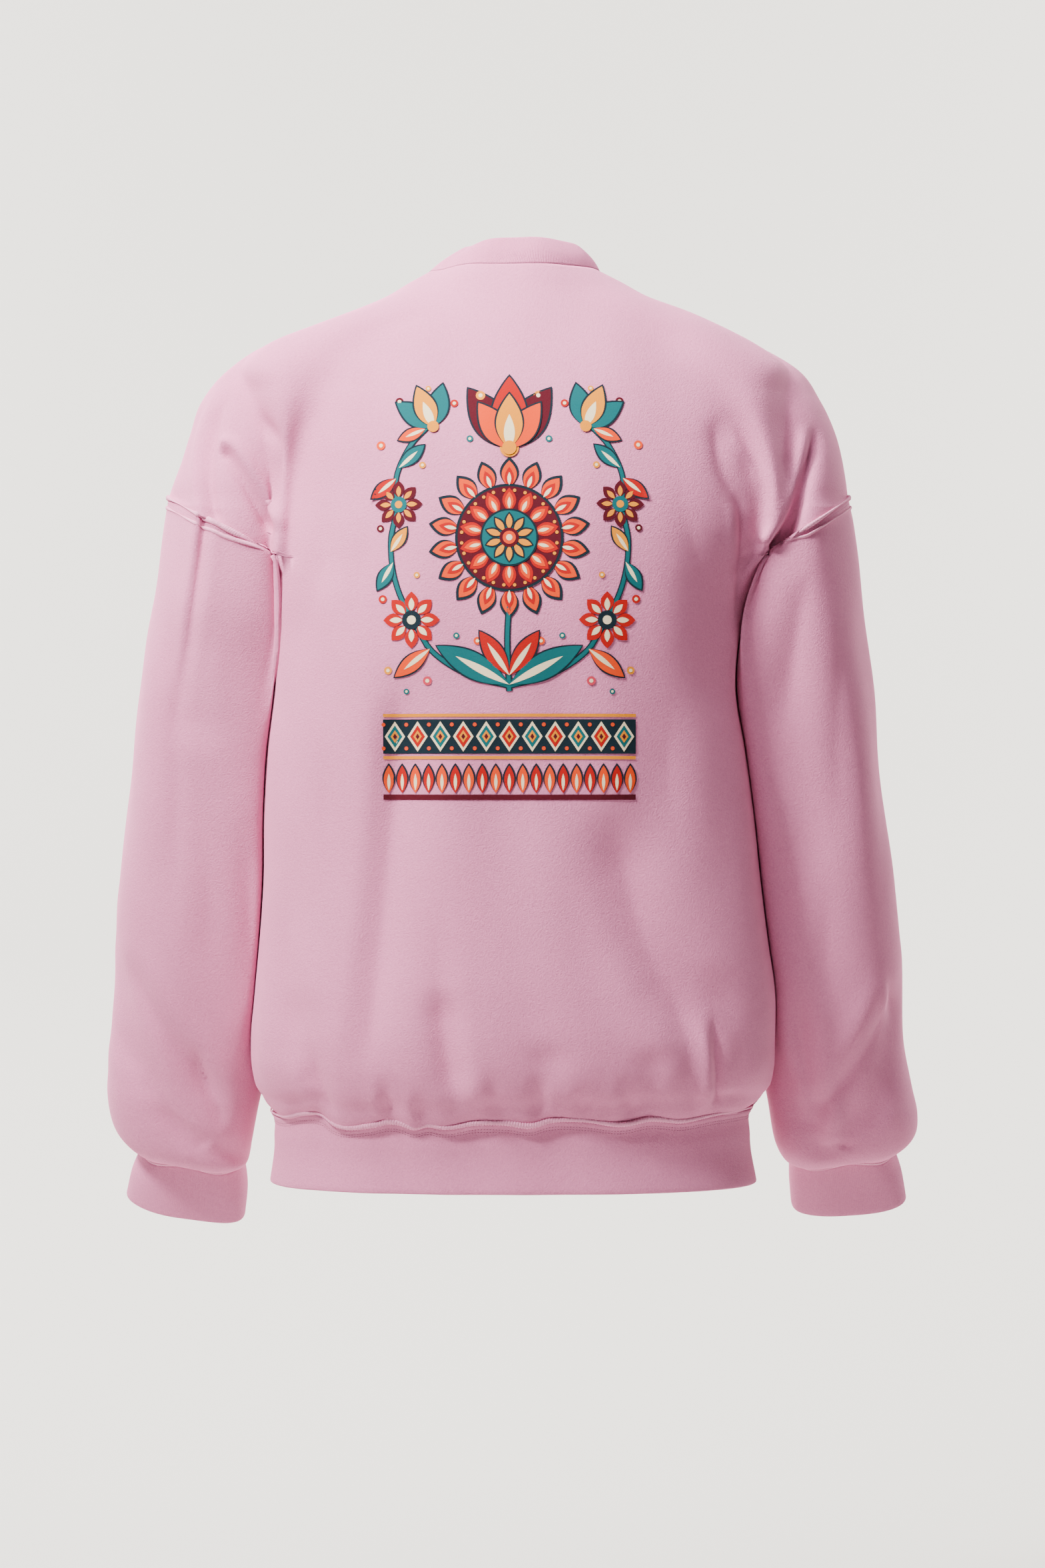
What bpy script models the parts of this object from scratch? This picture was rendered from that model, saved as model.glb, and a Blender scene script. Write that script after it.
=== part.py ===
"""A crewneck sweatshirt in its worn, hollow form, held up at the neck and shoulders.

Eight cut pieces, each a thin wall: back, front, two sleeves, neck rib, waistband and two
cuffs. +Z is up, the wearer's front faces -Y and the wearer's left is +X. The origin is
the middle of the neck, level with the high points of the shoulders. Tables and formulas
are in millimetres; vertices are written in metres.
"""
import math

import bpy
import numpy as np

# ---------------------------------------------------------------- driving dimensions (mm)
MM = 0.001
FLEECE_WALL = 2.2        # brushed fleece of the panels and sleeves
RIB_WALL = 2.6           # doubled rib of the collar, waistband and cuffs
SEAM_GAP = 0.3           # space left between two pieces along a seam
SHARPEST_MITRE = 0.4     # limits how far a sharp corner of a seam is pulled back
SLEEVE_CLEARANCE = 3.0   # space between a hanging sleeve and the body

NECK_HEIGHT = 0.0        # high shoulder point, beside the collar
BACK_NECK_DROP = 2.0     # neck seam at the centre back, below the high shoulder point
FRONT_NECK_DROP = 86.0   # neck seam at the centre front
ARMHOLE_TOP = -180.0     # where the dropped shoulder seam ends on the arm
ARMHOLE_CREASE = -230.0  # where the armhole seam reaches the crease beside the body
UNDERARM = -240.0        # lowest point of the armhole
ARMHOLE_SLOPE = 0.9      # below 1 the armhole seam falls faster at its outer end
CREASE_DEPTH = 56.0      # how far behind (or before) the underarm that crease lies
HEM_TUCK = -644.0        # where the panels start to turn in above the waistband
HEM_SEAM = -670.0        # waistband seam
HEM_EDGE = -722.0        # lower edge of the waistband

# Grid of each panel: rows down, columns from the centre to one side.
SHOULDER_ROWS = 11
ARM_ROWS = 7             # rows that end on the armhole, over the back of the arm
SIDE_ROWS = 12
TUCK_ROWS = 3
CENTRE_COLUMNS = 9
FLANK_COLUMNS = 4
UNDERARM_COLUMNS = 3     # added below the armhole, from the crease to the side seam
FLANK_SHARE = 0.2        # least part of a half row that the flank columns take
ROW_SAMPLES = 241        # points on the fine curve from which a row's points are read
BAND_ROWS = 3
COLLAR_ROWS = 3
CUFF_ROWS = 3
NECK_CURVE = 0.55        # how round the neck and the rows under it are

# Collar: how far its upper edge stands in from the neck seam, and above it.
COLLAR_LEAN_SIDE = 21.0
COLLAR_LEAN_BACK = 10.0
COLLAR_SHIFT = 6.0       # the upper edge is centred this much nearer the wearer's right
COLLAR_RISE = 22.0
COLLAR_SAG = 3.0         # its upper edge is this much lower at the sides
COLLAR_ROUNDNESS = 2.0   # outward swell of the band between its two edges

# The body at each height: half-widths to the wearer's left and right, depths behind and
# before the middle plane, the middle plane's own place, and how square the section is.
TORSO = {
    "columns": ("height", "left", "right", "back", "front", "middle", "square"),
    "rows": [
        (0, 75, 62, 62, 54, 0, 2.0),
        (-10, 93, 82, 69, 57, 0, 2.0),
        (-22, 113, 104, 76, 60, 0, 2.0),
        (-35, 143, 138, 84, 64, 0, 2.0),
        (-45, 168, 160, 90, 67, 0, 2.0),
        (-58, 200, 184, 97, 71, 0, 2.05),
        (-78, 222, 208, 107, 78, 0, 2.1),
        (-103, 214, 208, 118, 88, 1, 2.2),
        (-130, 204, 208, 127, 99, 2, 2.3),
        (-156, 199, 211, 133, 109, 3, 2.35),
        (-186, 197, 212, 138, 119, 4, 2.4),
        (-210, 197.5, 205, 140, 125, 5, 2.45),
        (-240, 198, 190, 141, 131, 6, 2.5),
        (-262, 197.5, 180, 140, 135, 8, 2.5),
        (-293, 196, 173, 138, 137, 10, 2.5),
        (-330, 198, 170, 133, 138, 13, 2.5),
        (-380, 203, 177, 126, 137, 16, 2.5),
        (-430, 205, 183, 121, 136, 18, 2.5),
        (-480, 205, 188, 119, 135, 19, 2.5),
        (-530, 208, 194, 119, 134, 19, 2.5),
        (-574, 212, 200, 121, 134, 18, 2.5),
        (-610, 215, 200, 122, 133, 16, 2.5),
        (-635, 214, 199, 120, 130, 14, 2.5),
        (-652, 210, 195, 115, 124, 12, 2.5),
        (-664, 203, 187, 108, 117, 10, 2.5),
        (-670, 197, 180, 102, 112, 9, 2.5),
        (-690, 197, 180, 100, 109, 8, 2.5),
        (-722, 201, 186, 101, 110, 7, 2.5),
    ],
}

# The upper arm inside the panels: outer and inner half-widths on both sides, half-depth,
# and the crease beside the body that the grid's columns follow.
SHOULDER = {
    "columns": ("height", "out_left", "out_right", "in_left", "in_right", "depth",
                "crease_left", "crease_right"),
    "rows": [
        (0, 75, 62, 30, 25, 3, 50, 42),
        (-10, 93, 82, 35, 30, 12, 65, 58),
        (-22, 113, 104, 42, 36, 26, 84, 77),
        (-35, 143, 138, 55, 48, 35, 108, 102),
        (-45, 169, 160, 70, 62, 42, 128, 118),
        (-58, 204, 186, 96, 84, 47, 150, 136),
        (-78, 235, 220, 120, 108, 55, 170, 156),
        (-103, 256, 238, 140, 130, 63, 182, 174),
        (-130, 265, 250, 156, 150, 69, 189, 187),
        (-156, 273, 256, 166, 166, 73, 192, 194),
        (-180, 282, 259.5, 170, 174, 76, 192, 197),
        (-208, 286, 263, 172, 175, 79, 192, 197),
        (-240, 290, 268, 173, 170, 80, 189, 184),
    ],
}
BLEND_POWER = 4          # how tightly body and arm run into each other

# Each sleeve at its armhole and below: height and x of its outer and inner side, y of its
# middle, its half-depth, and how far it leans forward (degrees).
SLEEVE_COLUMNS = ("out_height", "out", "in_height", "in", "middle", "depth", "lean")
SLEEVE_LEFT = [
    (-180, 282, -240, 198, 4, 80, 0),
    (-250, 292.5, -290, 189, 2, 80, 0),
    (-319, 305, -345, 188, -2, 75, 0),
    (-379, 313, -398, 191, -6, 69, 1),
    (-443, 321, -458, 194, -10, 64, 3),
    (-513, 327, -526, 196, -16, 60, 6),
    (-575, 330, -588, 201, -24, 57, 9),
    (-625, 334, -640, 208, -34, 54, 12),
    (-653, 338, -672, 215, -42, 52, 15),
    (-677, 335, -697, 220, -49, 49, 18),
    (-691, 326, -710, 223, -54, 43, 20),
    (-702, 309, -713, 228, -57, 31, 21),
]
CUFF_LEFT = [
    (-702, 309, -713, 228, -57, 31, 21),
    (-722, 319, -736, 226, -64, 29, 22),
    (-742, 325, -758, 228, -71, 27, 24),
]
SLEEVE_RIGHT = [
    (-180, 259.5, -240, 190, 4, 80, 0),
    (-250, 270, -288, 168, 2, 80, 0),
    (-319, 280, -345, 161, -2, 75, 0),
    (-385, 287, -402, 166, -6, 69, 1),
    (-440, 293.5, -456, 173, -10, 64, 3),
    (-510, 302, -524, 181, -16, 60, 6),
    (-572, 308, -586, 188, -24, 57, 9),
    (-617, 310, -634, 193, -34, 54, 12),
    (-652, 316, -664, 199, -42, 52, 15),
    (-674, 321, -692, 204, -48, 49, 18),
    (-690, 319, -706, 211, -53, 43, 20),
    (-702, 302, -710, 218, -57, 31, 21),
]
CUFF_RIGHT = [
    (-702, 302, -710, 218, -57, 31, 21),
    (-722, 310, -730, 218, -64, 29, 22),
    (-745, 315, -750, 220, -71, 27, 24),
]
SLEEVE_RINGS_PER_ROW = 2
FIRST_RING = 0.14        # place of an extra ring that turns the cloth over the seam
SLEEVE_SQUARE = 2.3
ARMHOLE_REACH = 3.0      # table rows over which a sleeve leaves the armhole's own curve

# Main folds. On a panel: start and end (x, height), sideways bow, half-width and depth;
# a depth above zero is a trough and one below zero a ridge.
# Columns: x0, z0, x1, z1, bow, width, depth.
BACK_FOLDS = [
    (-236, -106, -212, -204, 4, 13, 7),
    (-150, -118, -172, -206, 0, 17, 6),
    (240, -134, 200, -218, 0, 15, 3),
    (222, -92, 197, -146, 0, 14, 4),
    (162, -104, 182, -196, -6, 16, 5),
    (134, -148, 158, -268, -8, 20, 7),
    (92, -310, 120, -630, -6, 24, 8),
    (63, -560, 50, -652, 0, 16, 6),
    (-64, -410, -150, -612, 16, 30, 11),
    (-142, -540, -152, -664, -8, 17, 6),
    (172, -560, 160, -664, 0, 16, 5),
    (-20, -600, -16, -666, 0, 15, 4),
    (-98, -606, -104, -666, 0, 14, 4),
]
FRONT_FOLDS = [
    (236, -118, 204, -214, 5, 14, 6),
    (-232, -112, -208, -206, 5, 14, 6),
    (150, -180, 92, -296, 10, 20, 6),
    (-150, -176, -88, -280, 10, 20, 6),
    (128, -330, 142, -636, -10, 26, 9),
    (-78, -360, -132, -634, 12, 26, 10),
    (30, -470, 44, -650, 8, 22, 7),
    (-36, -590, -30, -666, 0, 16, 4),
    (92, -600, 98, -666, 0, 15, 4),
    (-160, -550, -156, -666, 0, 17, 5),
]
# On a sleeve: start and end as angle round it (degrees, 0 outer side, 90 back, 180 inner
# side, 270 front) and place down its table, half-width (mm) and depth.
# Columns: angle0, row0, angle1, row1, width, depth.
SLEEVE_FOLDS_LEFT = [
    (20, 1.2, 15, 5.0, 20, 3),
    (70, 1.0, 85, 3.0, 22, 4),
    (5, 4.8, 120, 9.6, 17, 6),
    (85, 6.2, 150, 9.8, 14, 5),
    (215, 0.8, 245, 3.4, 22, 4),
    (340, 4.4, 245, 9.0, 18, 6),
    (250, 6.2, 200, 9.6, 15, 5),
    (300, 2.4, 280, 4.8, 22, 4),
]
SLEEVE_FOLDS_RIGHT = [
    (35, 0.6, 25, 4.6, 20, 3),
    (105, 1.0, 115, 5.2, 24, 4),
    (15, 5.4, 100, 9.6, 17, 5),
    (150, 6.0, 105, 9.8, 15, 5),
    (220, 0.8, 245, 3.6, 22, 4),
    (340, 4.6, 250, 9.2, 18, 6),
    (240, 6.0, 200, 9.4, 15, 5),
    (295, 2.4, 285, 5.0, 22, 4),
]

FOLD_ENDS = 0.3          # share of a fold's length over which it fades at each end
FOLD_FREE_DEPTH = 40.0   # folds fade where the cloth is nearer the middle plane than this
SLEEVE_ROW_LENGTH = 55.0  # about how far apart a sleeve's table rows are

PINK = (0.745, 0.468, 0.585)
RIB_SHADE = 0.95
SHARP_ANGLE = 50.0       # degrees between faces that are shaded as an edge
COLLECTION_NAME = "crewneck_sweatshirt"


# ---------------------------------------------------------------- reading the tables
def smooth_read(places, values, at):
    """Values between the rows of a table, on a smooth curve through the rows."""
    places, values = np.asarray(places, float), np.asarray(values, float)
    slopes = np.gradient(values, places)
    at = np.clip(at, places[0], places[-1])
    row = np.clip(np.searchsorted(places, at) - 1, 0, len(places) - 2)
    step = places[row + 1] - places[row]
    part = (at - places[row]) / step
    rise = values[row + 1] - values[row]
    start, end = slopes[row] * step, slopes[row + 1] * step
    return values[row] + part * (start + part * (3 * rise - 2 * start - end
                                                 + part * (start + end - 2 * rise)))


def at_height(table, column, height):
    """One column of a table of heights."""
    index = table["columns"].index(column)
    rows = table["rows"][::-1]
    return smooth_read([row[0] for row in rows], [row[index] for row in rows], height)


def at_row(rows, column, place):
    """One column of a sleeve's table, by the place down its rows."""
    index = SLEEVE_COLUMNS.index(column)
    return smooth_read(range(len(rows)), [row[index] for row in rows], place)


def fade(part):
    """0 to 1 with flat ends."""
    part = np.clip(part, 0, 1)
    return part * part * (3 - 2 * part)


# ---------------------------------------------------------------- the form of the body
def sided(table, column, x, height):
    """A column with a value of its own on the wearer's left and right."""
    return np.where(x > 0, at_height(table, column + "left", height),
                    at_height(table, column + "right", height))


def fold_ends(part):
    """How deep a fold is along its own length: 1, fading to 0 at both ends."""
    return fade(part / FOLD_ENDS) * fade((1 - part) / FOLD_ENDS)


def fold_depth(folds, x, height):
    """Sum of the folds' troughs at points of a panel."""
    total = np.zeros_like(x)
    for fold in folds:
        x0, z0, x1, z1, bow, width, depth = fold
        length = math.hypot(x1 - x0, z1 - z0)
        along_x, along_z = (x1 - x0) / length, (z1 - z0) / length
        along = (x - x0) * along_x + (height - z0) * along_z
        part = along / length
        across = (height - z0) * along_x - (x - x0) * along_z
        across = across - bow * np.sin(math.pi * np.clip(part, 0, 1))
        total += depth * fold_ends(part) * np.exp(-(across / width) ** 2)
    return total


def panel_depth(panel, x, height, over_arm):
    """How far a panel's cloth lies from the middle plane at x and height."""
    square = at_height(TORSO, "square", height)
    outer = sided(SHOULDER, "out_", x, height)
    inner = sided(SHOULDER, "in_", x, height)
    across = np.clip(np.abs(x) / np.minimum(sided(TORSO, "", x, height), outer), 0, 1)
    body = at_height(TORSO, panel, height) * (1 - across ** square) ** (1 / square)
    across = np.clip((np.abs(x) - (outer + inner) / 2) / np.maximum((outer - inner) / 2, 1), -1, 1)
    arm = at_height(SHOULDER, "depth", height) * np.sqrt(1 - across ** 2) if over_arm else 0
    joined = (body ** BLEND_POWER + arm ** BLEND_POWER) ** (1 / BLEND_POWER)
    folds = BACK_FOLDS if panel == "back" else FRONT_FOLDS
    return joined - fold_depth(folds, x, height) * fade(joined / FOLD_FREE_DEPTH)


def panel_point(panel, x, height, over_arm):
    """Points of a panel's outer face."""
    facing = 1 if panel == "back" else -1
    depth = panel_depth(panel, x, height, over_arm)
    y = at_height(TORSO, "middle", height) + facing * depth
    return np.stack([x, y, height], axis=-1)


def torso_reach(panel, y_from_middle, height, side):
    """x of the body's side at a distance before or behind the middle plane."""
    square = at_height(TORSO, "square", height)
    part = np.clip(np.abs(y_from_middle) / at_height(TORSO, panel, height), 0, 1)
    return at_height(TORSO, side, height) * (1 - part ** square) ** (1 / square)


# ---------------------------------------------------------------- rows of a panel
def shoulder_heights():
    """Heights of the rows' ends on the shoulder seam, evenly spaced along it."""
    heights = np.linspace(NECK_HEIGHT, ARMHOLE_TOP, ROW_SAMPLES)
    out = at_height(SHOULDER, "out_left", heights)
    length = np.concatenate([[0], np.cumsum(np.hypot(np.diff(out), np.diff(heights)))])
    return np.interp(np.linspace(0, length[-1], SHOULDER_ROWS + 1), length, heights)


def between(start, end, part):
    return start + (end - start) * part


def armhole_rows():
    """Rows that end on the armhole: height of ends and middle, and x of the two ends."""
    rows = []
    for step in range(1, ARM_ROWS + 1):
        part = step / ARM_ROWS
        inward = between(part, 1 - math.cos(math.pi / 2 * part), 0.5)
        reach = [between(at_height(SHOULDER, "out_" + side, ARMHOLE_TOP),
                         at_height(SHOULDER, "crease_" + side, ARMHOLE_CREASE), inward)
                 for side in ("left", "right")]
        rows.append((between(ARMHOLE_TOP, ARMHOLE_CREASE, inward ** ARMHOLE_SLOPE),
                     between(ARMHOLE_TOP, UNDERARM, part), *reach))
    return rows


def side_heights():
    """Heights of the rows below the underarm, close together where the cloth tucks in."""
    side = [between(UNDERARM, HEM_TUCK, step / SIDE_ROWS) for step in range(1, SIDE_ROWS + 1)]
    tuck = [between(HEM_TUCK, HEM_SEAM, math.sin(math.pi / 2 * step / TUCK_ROWS))
            for step in range(1, TUCK_ROWS + 1)]
    return side + tuck


def read_along(points, places):
    """Points of a fine curve at the given shares of its length."""
    length = np.concatenate([[0], np.cumsum(np.linalg.norm(np.diff(points, axis=0), axis=1))])
    places = np.asarray(places) * length[-1]
    return np.stack([np.interp(places, length, points[:, axis]) for axis in range(3)], axis=-1)


def fine_half(panel, end_height, middle_height, end_x, side, over_arm):
    """A fine curve from the centre of a row to its end on one side."""
    reach = np.sin(np.linspace(0, math.pi / 2, ROW_SAMPLES))
    x = end_x * reach * (1 if side == "left" else -1)
    height = between(end_height, middle_height, (1 - reach ** 2) ** NECK_CURVE)
    return panel_point(panel, x, height, over_arm)


def column_shares(points, crease):
    """Shares of a half row's length at its columns, which follow the crease."""
    length = np.concatenate([[0], np.cumsum(np.linalg.norm(np.diff(points, axis=0), axis=1))])
    length /= length[-1]
    flank = min(np.interp(crease, np.abs(points[:, 0]), length), 1 - FLANK_SHARE)
    return np.concatenate([np.linspace(0, flank, CENTRE_COLUMNS + 1),
                           np.linspace(flank, 1, FLANK_COLUMNS + 1)[1:]])


def upper_half(panel, end_height, middle_height, end_x, side):
    """Half a row that ends on the shoulder or the armhole; the last columns are left out."""
    points = fine_half(panel, end_height, middle_height, end_x, side, True)
    crease = at_height(SHOULDER, "crease_" + side, end_height)
    row = read_along(points, column_shares(points, crease))
    return np.vstack([row, np.full((UNDERARM_COLUMNS, 3), np.nan)])


def lower_half(panel, height, side):
    """Half a row that ends on the side seam or, in the waistband, would do so."""
    points = fine_half(panel, height, height, at_height(TORSO, side, height), side, False)
    from_middle = np.abs(points[:, 1] - at_height(TORSO, "middle", height))
    turn = np.argmax(from_middle < CREASE_DEPTH)
    row = read_along(points[:turn + 1], column_shares(points[:turn + 1], math.inf))
    under = read_along(points[turn:], np.linspace(0, 1, UNDERARM_COLUMNS + 1)[1:])
    return np.vstack([row, under])


def underarm_points(panel, side):
    """The armhole seam from the crease to the underarm."""
    part = np.arange(1, UNDERARM_COLUMNS + 1) / UNDERARM_COLUMNS
    height = between(ARMHOLE_CREASE, UNDERARM, fade(part))
    depth = CREASE_DEPTH * (1 - part)
    facing = 1 if panel == "back" else -1
    x = torso_reach(panel, depth, height, side) * (1 if side == "left" else -1)
    return np.stack([x, at_height(TORSO, "middle", height) + facing * depth, height], axis=-1)


def whole_row(halves):
    """A row from the wearer's right to the left."""
    return np.concatenate([halves["right"][::-1], halves["left"][1:]])


def panel_grid(panel):
    """A panel's points, row by row; above the armhole the outermost columns are empty."""
    drop = BACK_NECK_DROP if panel == "back" else FRONT_NECK_DROP
    rows = []
    for step, height in enumerate(shoulder_heights()):
        middle = between(-drop, ARMHOLE_TOP, step / SHOULDER_ROWS)
        rows.append(whole_row({side: upper_half(
            panel, height, middle, at_height(SHOULDER, "out_" + side, height), side)
            for side in ("left", "right")}))
    for height, middle, left, right in armhole_rows():
        rows.append(whole_row({"left": upper_half(panel, height, middle, left, "left"),
                               "right": upper_half(panel, height, middle, right, "right")}))
    rows[-1][-UNDERARM_COLUMNS:] = underarm_points(panel, "left")
    rows[-1][:UNDERARM_COLUMNS] = underarm_points(panel, "right")[::-1]
    for height in side_heights():
        rows.append(whole_row({side: lower_half(panel, height, side)
                               for side in ("left", "right")}))
    return np.array(rows)


# ---------------------------------------------------------------- rings
def closed_ring(back_row, front_row):
    """One ring round the body from a back row and a front row that share their ends."""
    back_row = back_row[~np.isnan(back_row[:, 0])]
    front_row = front_row[~np.isnan(front_row[:, 0])]
    return np.concatenate([back_row, front_row[::-1][1:-1]])


def collar_grid(neck_ring):
    """The rib collar stands up from the neck seam and leans in."""
    centre = (neck_ring.max(axis=0) + neck_ring.min(axis=0)) / 2
    half = (neck_ring.max(axis=0) - neck_ring.min(axis=0)) / 2
    across = (neck_ring[:, 0] - centre[0]) / half[0]
    depth = (neck_ring[:, 1] - centre[1]) / half[1]
    rows = []
    for step in range(COLLAR_ROWS + 1):
        part = step / COLLAR_ROWS
        swell = COLLAR_ROUNDNESS * math.sin(math.pi * part)
        row = neck_ring.copy()
        row[:, 0] -= across * (COLLAR_LEAN_SIDE * part - swell) + COLLAR_SHIFT * part
        row[:, 1] -= depth * (COLLAR_LEAN_BACK * part - swell)
        row[:, 2] += (COLLAR_RISE - COLLAR_SAG * across ** 2) * part
        rows.append(row)
    return np.array(rows[::-1])


def waistband_grid():
    rows = []
    for step in range(BAND_ROWS + 1):
        height = between(HEM_SEAM, HEM_EDGE, step / BAND_ROWS)
        back, front = (whole_row({side: lower_half(panel, height, side)
                                  for side in ("left", "right")})
                       for panel in ("back", "front"))
        rows.append(closed_ring(back, front))
    return np.array(rows)


def armhole_half(grid, side):
    """One panel's part of the armhole seam, from its outer end to the underarm."""
    grid = grid if side == "left" else grid[:, ::-1]
    last = SHOULDER_ROWS + ARM_ROWS
    over_arm = grid[SHOULDER_ROWS:last + 1, -1 - UNDERARM_COLUMNS]
    return np.concatenate([over_arm, grid[last, -UNDERARM_COLUMNS:]])


def armhole_ring(back, front, side):
    """The armhole seam: outer end, back of the arm, underarm, front of the arm."""
    return np.concatenate([armhole_half(back, side), armhole_half(front, side)[::-1][1:-1]])


def sleeve_section(rows, side, place, shares):
    """One ring of a sleeve or cuff, its points at the given shares of its length."""
    sign = 1 if side == "left" else -1
    outer = np.array([sign * at_row(rows, "out", place), at_row(rows, "out_height", place)])
    inner = np.array([sign * at_row(rows, "in", place), at_row(rows, "in_height", place)])
    depth, lean = at_row(rows, "depth", place), math.radians(at_row(rows, "lean", place))
    angles = np.linspace(0, 2 * math.pi, ROW_SAMPLES)
    cosine, sine = np.cos(angles), np.sin(angles)
    across = np.sign(cosine) * np.abs(cosine) ** (2 / SLEEVE_SQUARE)
    deep = np.sign(sine) * np.abs(sine) ** (2 / SLEEVE_SQUARE)
    middle, half = (outer + inner) / 2, (outer - inner) / 2
    x = middle[0] + half[0] * across
    z = middle[1] + half[1] * across - depth * math.sin(lean) * deep
    y = at_row(rows, "middle", place) + depth * math.cos(lean) * deep
    return read_along(np.stack([x, y, z], axis=-1), shares)


def ring_shares(ring):
    """Place of each armhole point as its share of the loop's length."""
    closed = np.vstack([ring, ring[:1]])
    length = np.concatenate([[0], np.cumsum(np.linalg.norm(np.diff(closed, axis=0), axis=1))])
    return length[:-1] / length[-1]


def sleeve_fold_depth(folds, shares, place, girth):
    """Sum of a sleeve's fold troughs on one ring, along the cloth's normal."""
    angles = 2 * math.pi * shares
    total = np.zeros_like(angles)
    for angle0, row0, angle1, row1, width, depth in folds:
        part = (place - row0) / (row1 - row0)
        if not 0 < part < 1:
            continue
        centre = math.radians(angle0 + (angle1 - angle0) * part)
        slant = math.radians(angle1 - angle0) * girth / ((row1 - row0) * SLEEVE_ROW_LENGTH)
        turn = (angles - centre + math.pi) % (2 * math.pi) - math.pi
        across = turn * girth / math.hypot(1, slant)
        total += depth * fold_ends(part) * np.exp(-(across / width) ** 2)
    return total


def keep_clear_of_body(ring, side, armhole):
    """A sleeve lies against the body without touching it, and leaves its armhole outwards."""
    sign = 1 if side == "left" else -1
    middle = at_height(TORSO, "middle", ring[:, 2])
    from_middle = ring[:, 1] - middle
    reach = np.where(from_middle > 0,
                     torso_reach("back", from_middle, ring[:, 2], side),
                     torso_reach("front", from_middle, ring[:, 2], side))
    if armhole is not None:
        underarm = slice(ARM_ROWS, ARM_ROWS + 2 * UNDERARM_COLUMNS + 1)
        reach[underarm] = np.maximum(reach, sign * armhole[:, 0])[underarm]
    clear = np.maximum(sign * ring[:, 0], reach + SLEEVE_CLEARANCE)
    kept = ring.copy()
    kept[:, 0] = sign * clear
    return kept


def sleeve_grid(rows, folds, side, armhole):
    """Rings from the armhole's own curve down to the cuff seam."""
    shares = ring_shares(armhole)
    first = sleeve_section(rows, side, 0, shares)
    rings = [armhole]
    steps = (len(rows) - 1) * SLEEVE_RINGS_PER_ROW
    for place in [FIRST_RING] + [step / SLEEVE_RINGS_PER_ROW for step in range(1, steps + 1)]:
        section = sleeve_section(rows, side, place, shares)
        centre = section.mean(axis=0)
        girth = (at_row(rows, "out", place) - at_row(rows, "in", place)
                 + 2 * at_row(rows, "depth", place)) / 4
        outward = section - centre
        outward /= np.linalg.norm(outward, axis=1)[:, None]
        depth = sleeve_fold_depth(folds, shares, place, girth)
        section = section - outward * depth[:, None]
        left_over = (armhole - first) * (1 - fade(place / ARMHOLE_REACH))
        ring = section + left_over
        rings.append(keep_clear_of_body(ring, side, armhole if place == FIRST_RING else None))
    return np.array(rings), shares


def cuff_grid(rows, side, shares, seam_ring):
    last = len(rows) - 1
    start = sleeve_section(rows, side, 0, shares)
    rings = []
    for step in range(CUFF_ROWS + 1):
        part = step / CUFF_ROWS
        ring = sleeve_section(rows, side, last * part, shares)
        rings.append(ring + (seam_ring - start) * (1 - part))
    return np.array(rings)


# ---------------------------------------------------------------- walls
def unit(vectors):
    return vectors / np.maximum(np.linalg.norm(vectors, axis=-1, keepdims=True), 1e-9)


def split_quad(quad, points):
    """Two triangles across a quad's shorter diagonal."""
    one, two, three, four = quad
    if np.linalg.norm(points[one] - points[three]) < np.linalg.norm(points[two] - points[four]):
        return [(one, two, three), (one, three, four)]
    return [(one, two, four), (two, three, four)]


def sheet_of(grid, closed):
    """Points and triangles of a grid, without its empty places, facing outwards."""
    rows, columns = grid.shape[:2]
    points = grid.reshape(-1, 3)
    used = ~np.isnan(points[:, 0])
    triangles = []
    for row in range(rows - 1):
        for column in range(columns if closed else columns - 1):
            beside = (column + 1) % columns
            quad = [row * columns + column, row * columns + beside,
                    (row + 1) * columns + beside, (row + 1) * columns + column]
            if used[quad].all():
                triangles.extend(split_quad(quad, points))
    number = np.cumsum(used) - 1
    points, triangles = points[used], number[np.array(triangles)]
    centre = points.mean(axis=0)
    facing = np.sum(face_areas(points, triangles) * (points[triangles].mean(axis=1) - centre))
    return points, triangles if facing > 0 else triangles[:, ::-1]


def face_areas(points, triangles):
    """Each triangle's normal, as long as twice its area."""
    corners = points[triangles]
    return np.cross(corners[:, 1] - corners[:, 0], corners[:, 2] - corners[:, 0])


def point_normals(points, triangles):
    areas = face_areas(points, triangles)
    normals = np.zeros_like(points)
    for corner in range(3):
        np.add.at(normals, triangles[:, corner], areas)
    return unit(normals)


def share_normals(pieces):
    """Give pieces that meet at a seam the same normals there, so their walls line up.

    Under the arm the body and the sleeve face each other, so that their normals cancel:
    there the garment's outside is below the seam and away from the armhole's middle.
    """
    sums, counts, keys = {}, {}, {}
    for name, piece in pieces.items():
        keys[name] = [tuple(key) for key in np.round(piece["points"], 3)]
        for key, normal in zip(keys[name], point_normals(piece["points"], piece["triangles"])):
            sums[key] = sums.get(key, 0) + normal
            counts[key] = counts.get(key, 0) + 1
    for name, piece in pieces.items():
        mean = np.array([sums[key] / counts[key] for key in keys[name]])
        lost = 1 - np.linalg.norm(mean, axis=1, keepdims=True)
        away = np.zeros_like(mean) + [0, 0, -1]
        away[:, 1] = piece["points"][:, 1] / CREASE_DEPTH
        piece["normals"] = unit(mean + lost * unit(away))


def open_edges(triangles):
    """Edges that only one triangle has, each with that triangle's number."""
    owner = {}
    for number, triangle in enumerate(triangles.tolist()):
        for start, end in zip(triangle, triangle[1:] + triangle[:1]):
            owner[start, end] = number
    return [(start, end, number) for (start, end), number in owner.items()
            if (end, start) not in owner]


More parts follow.
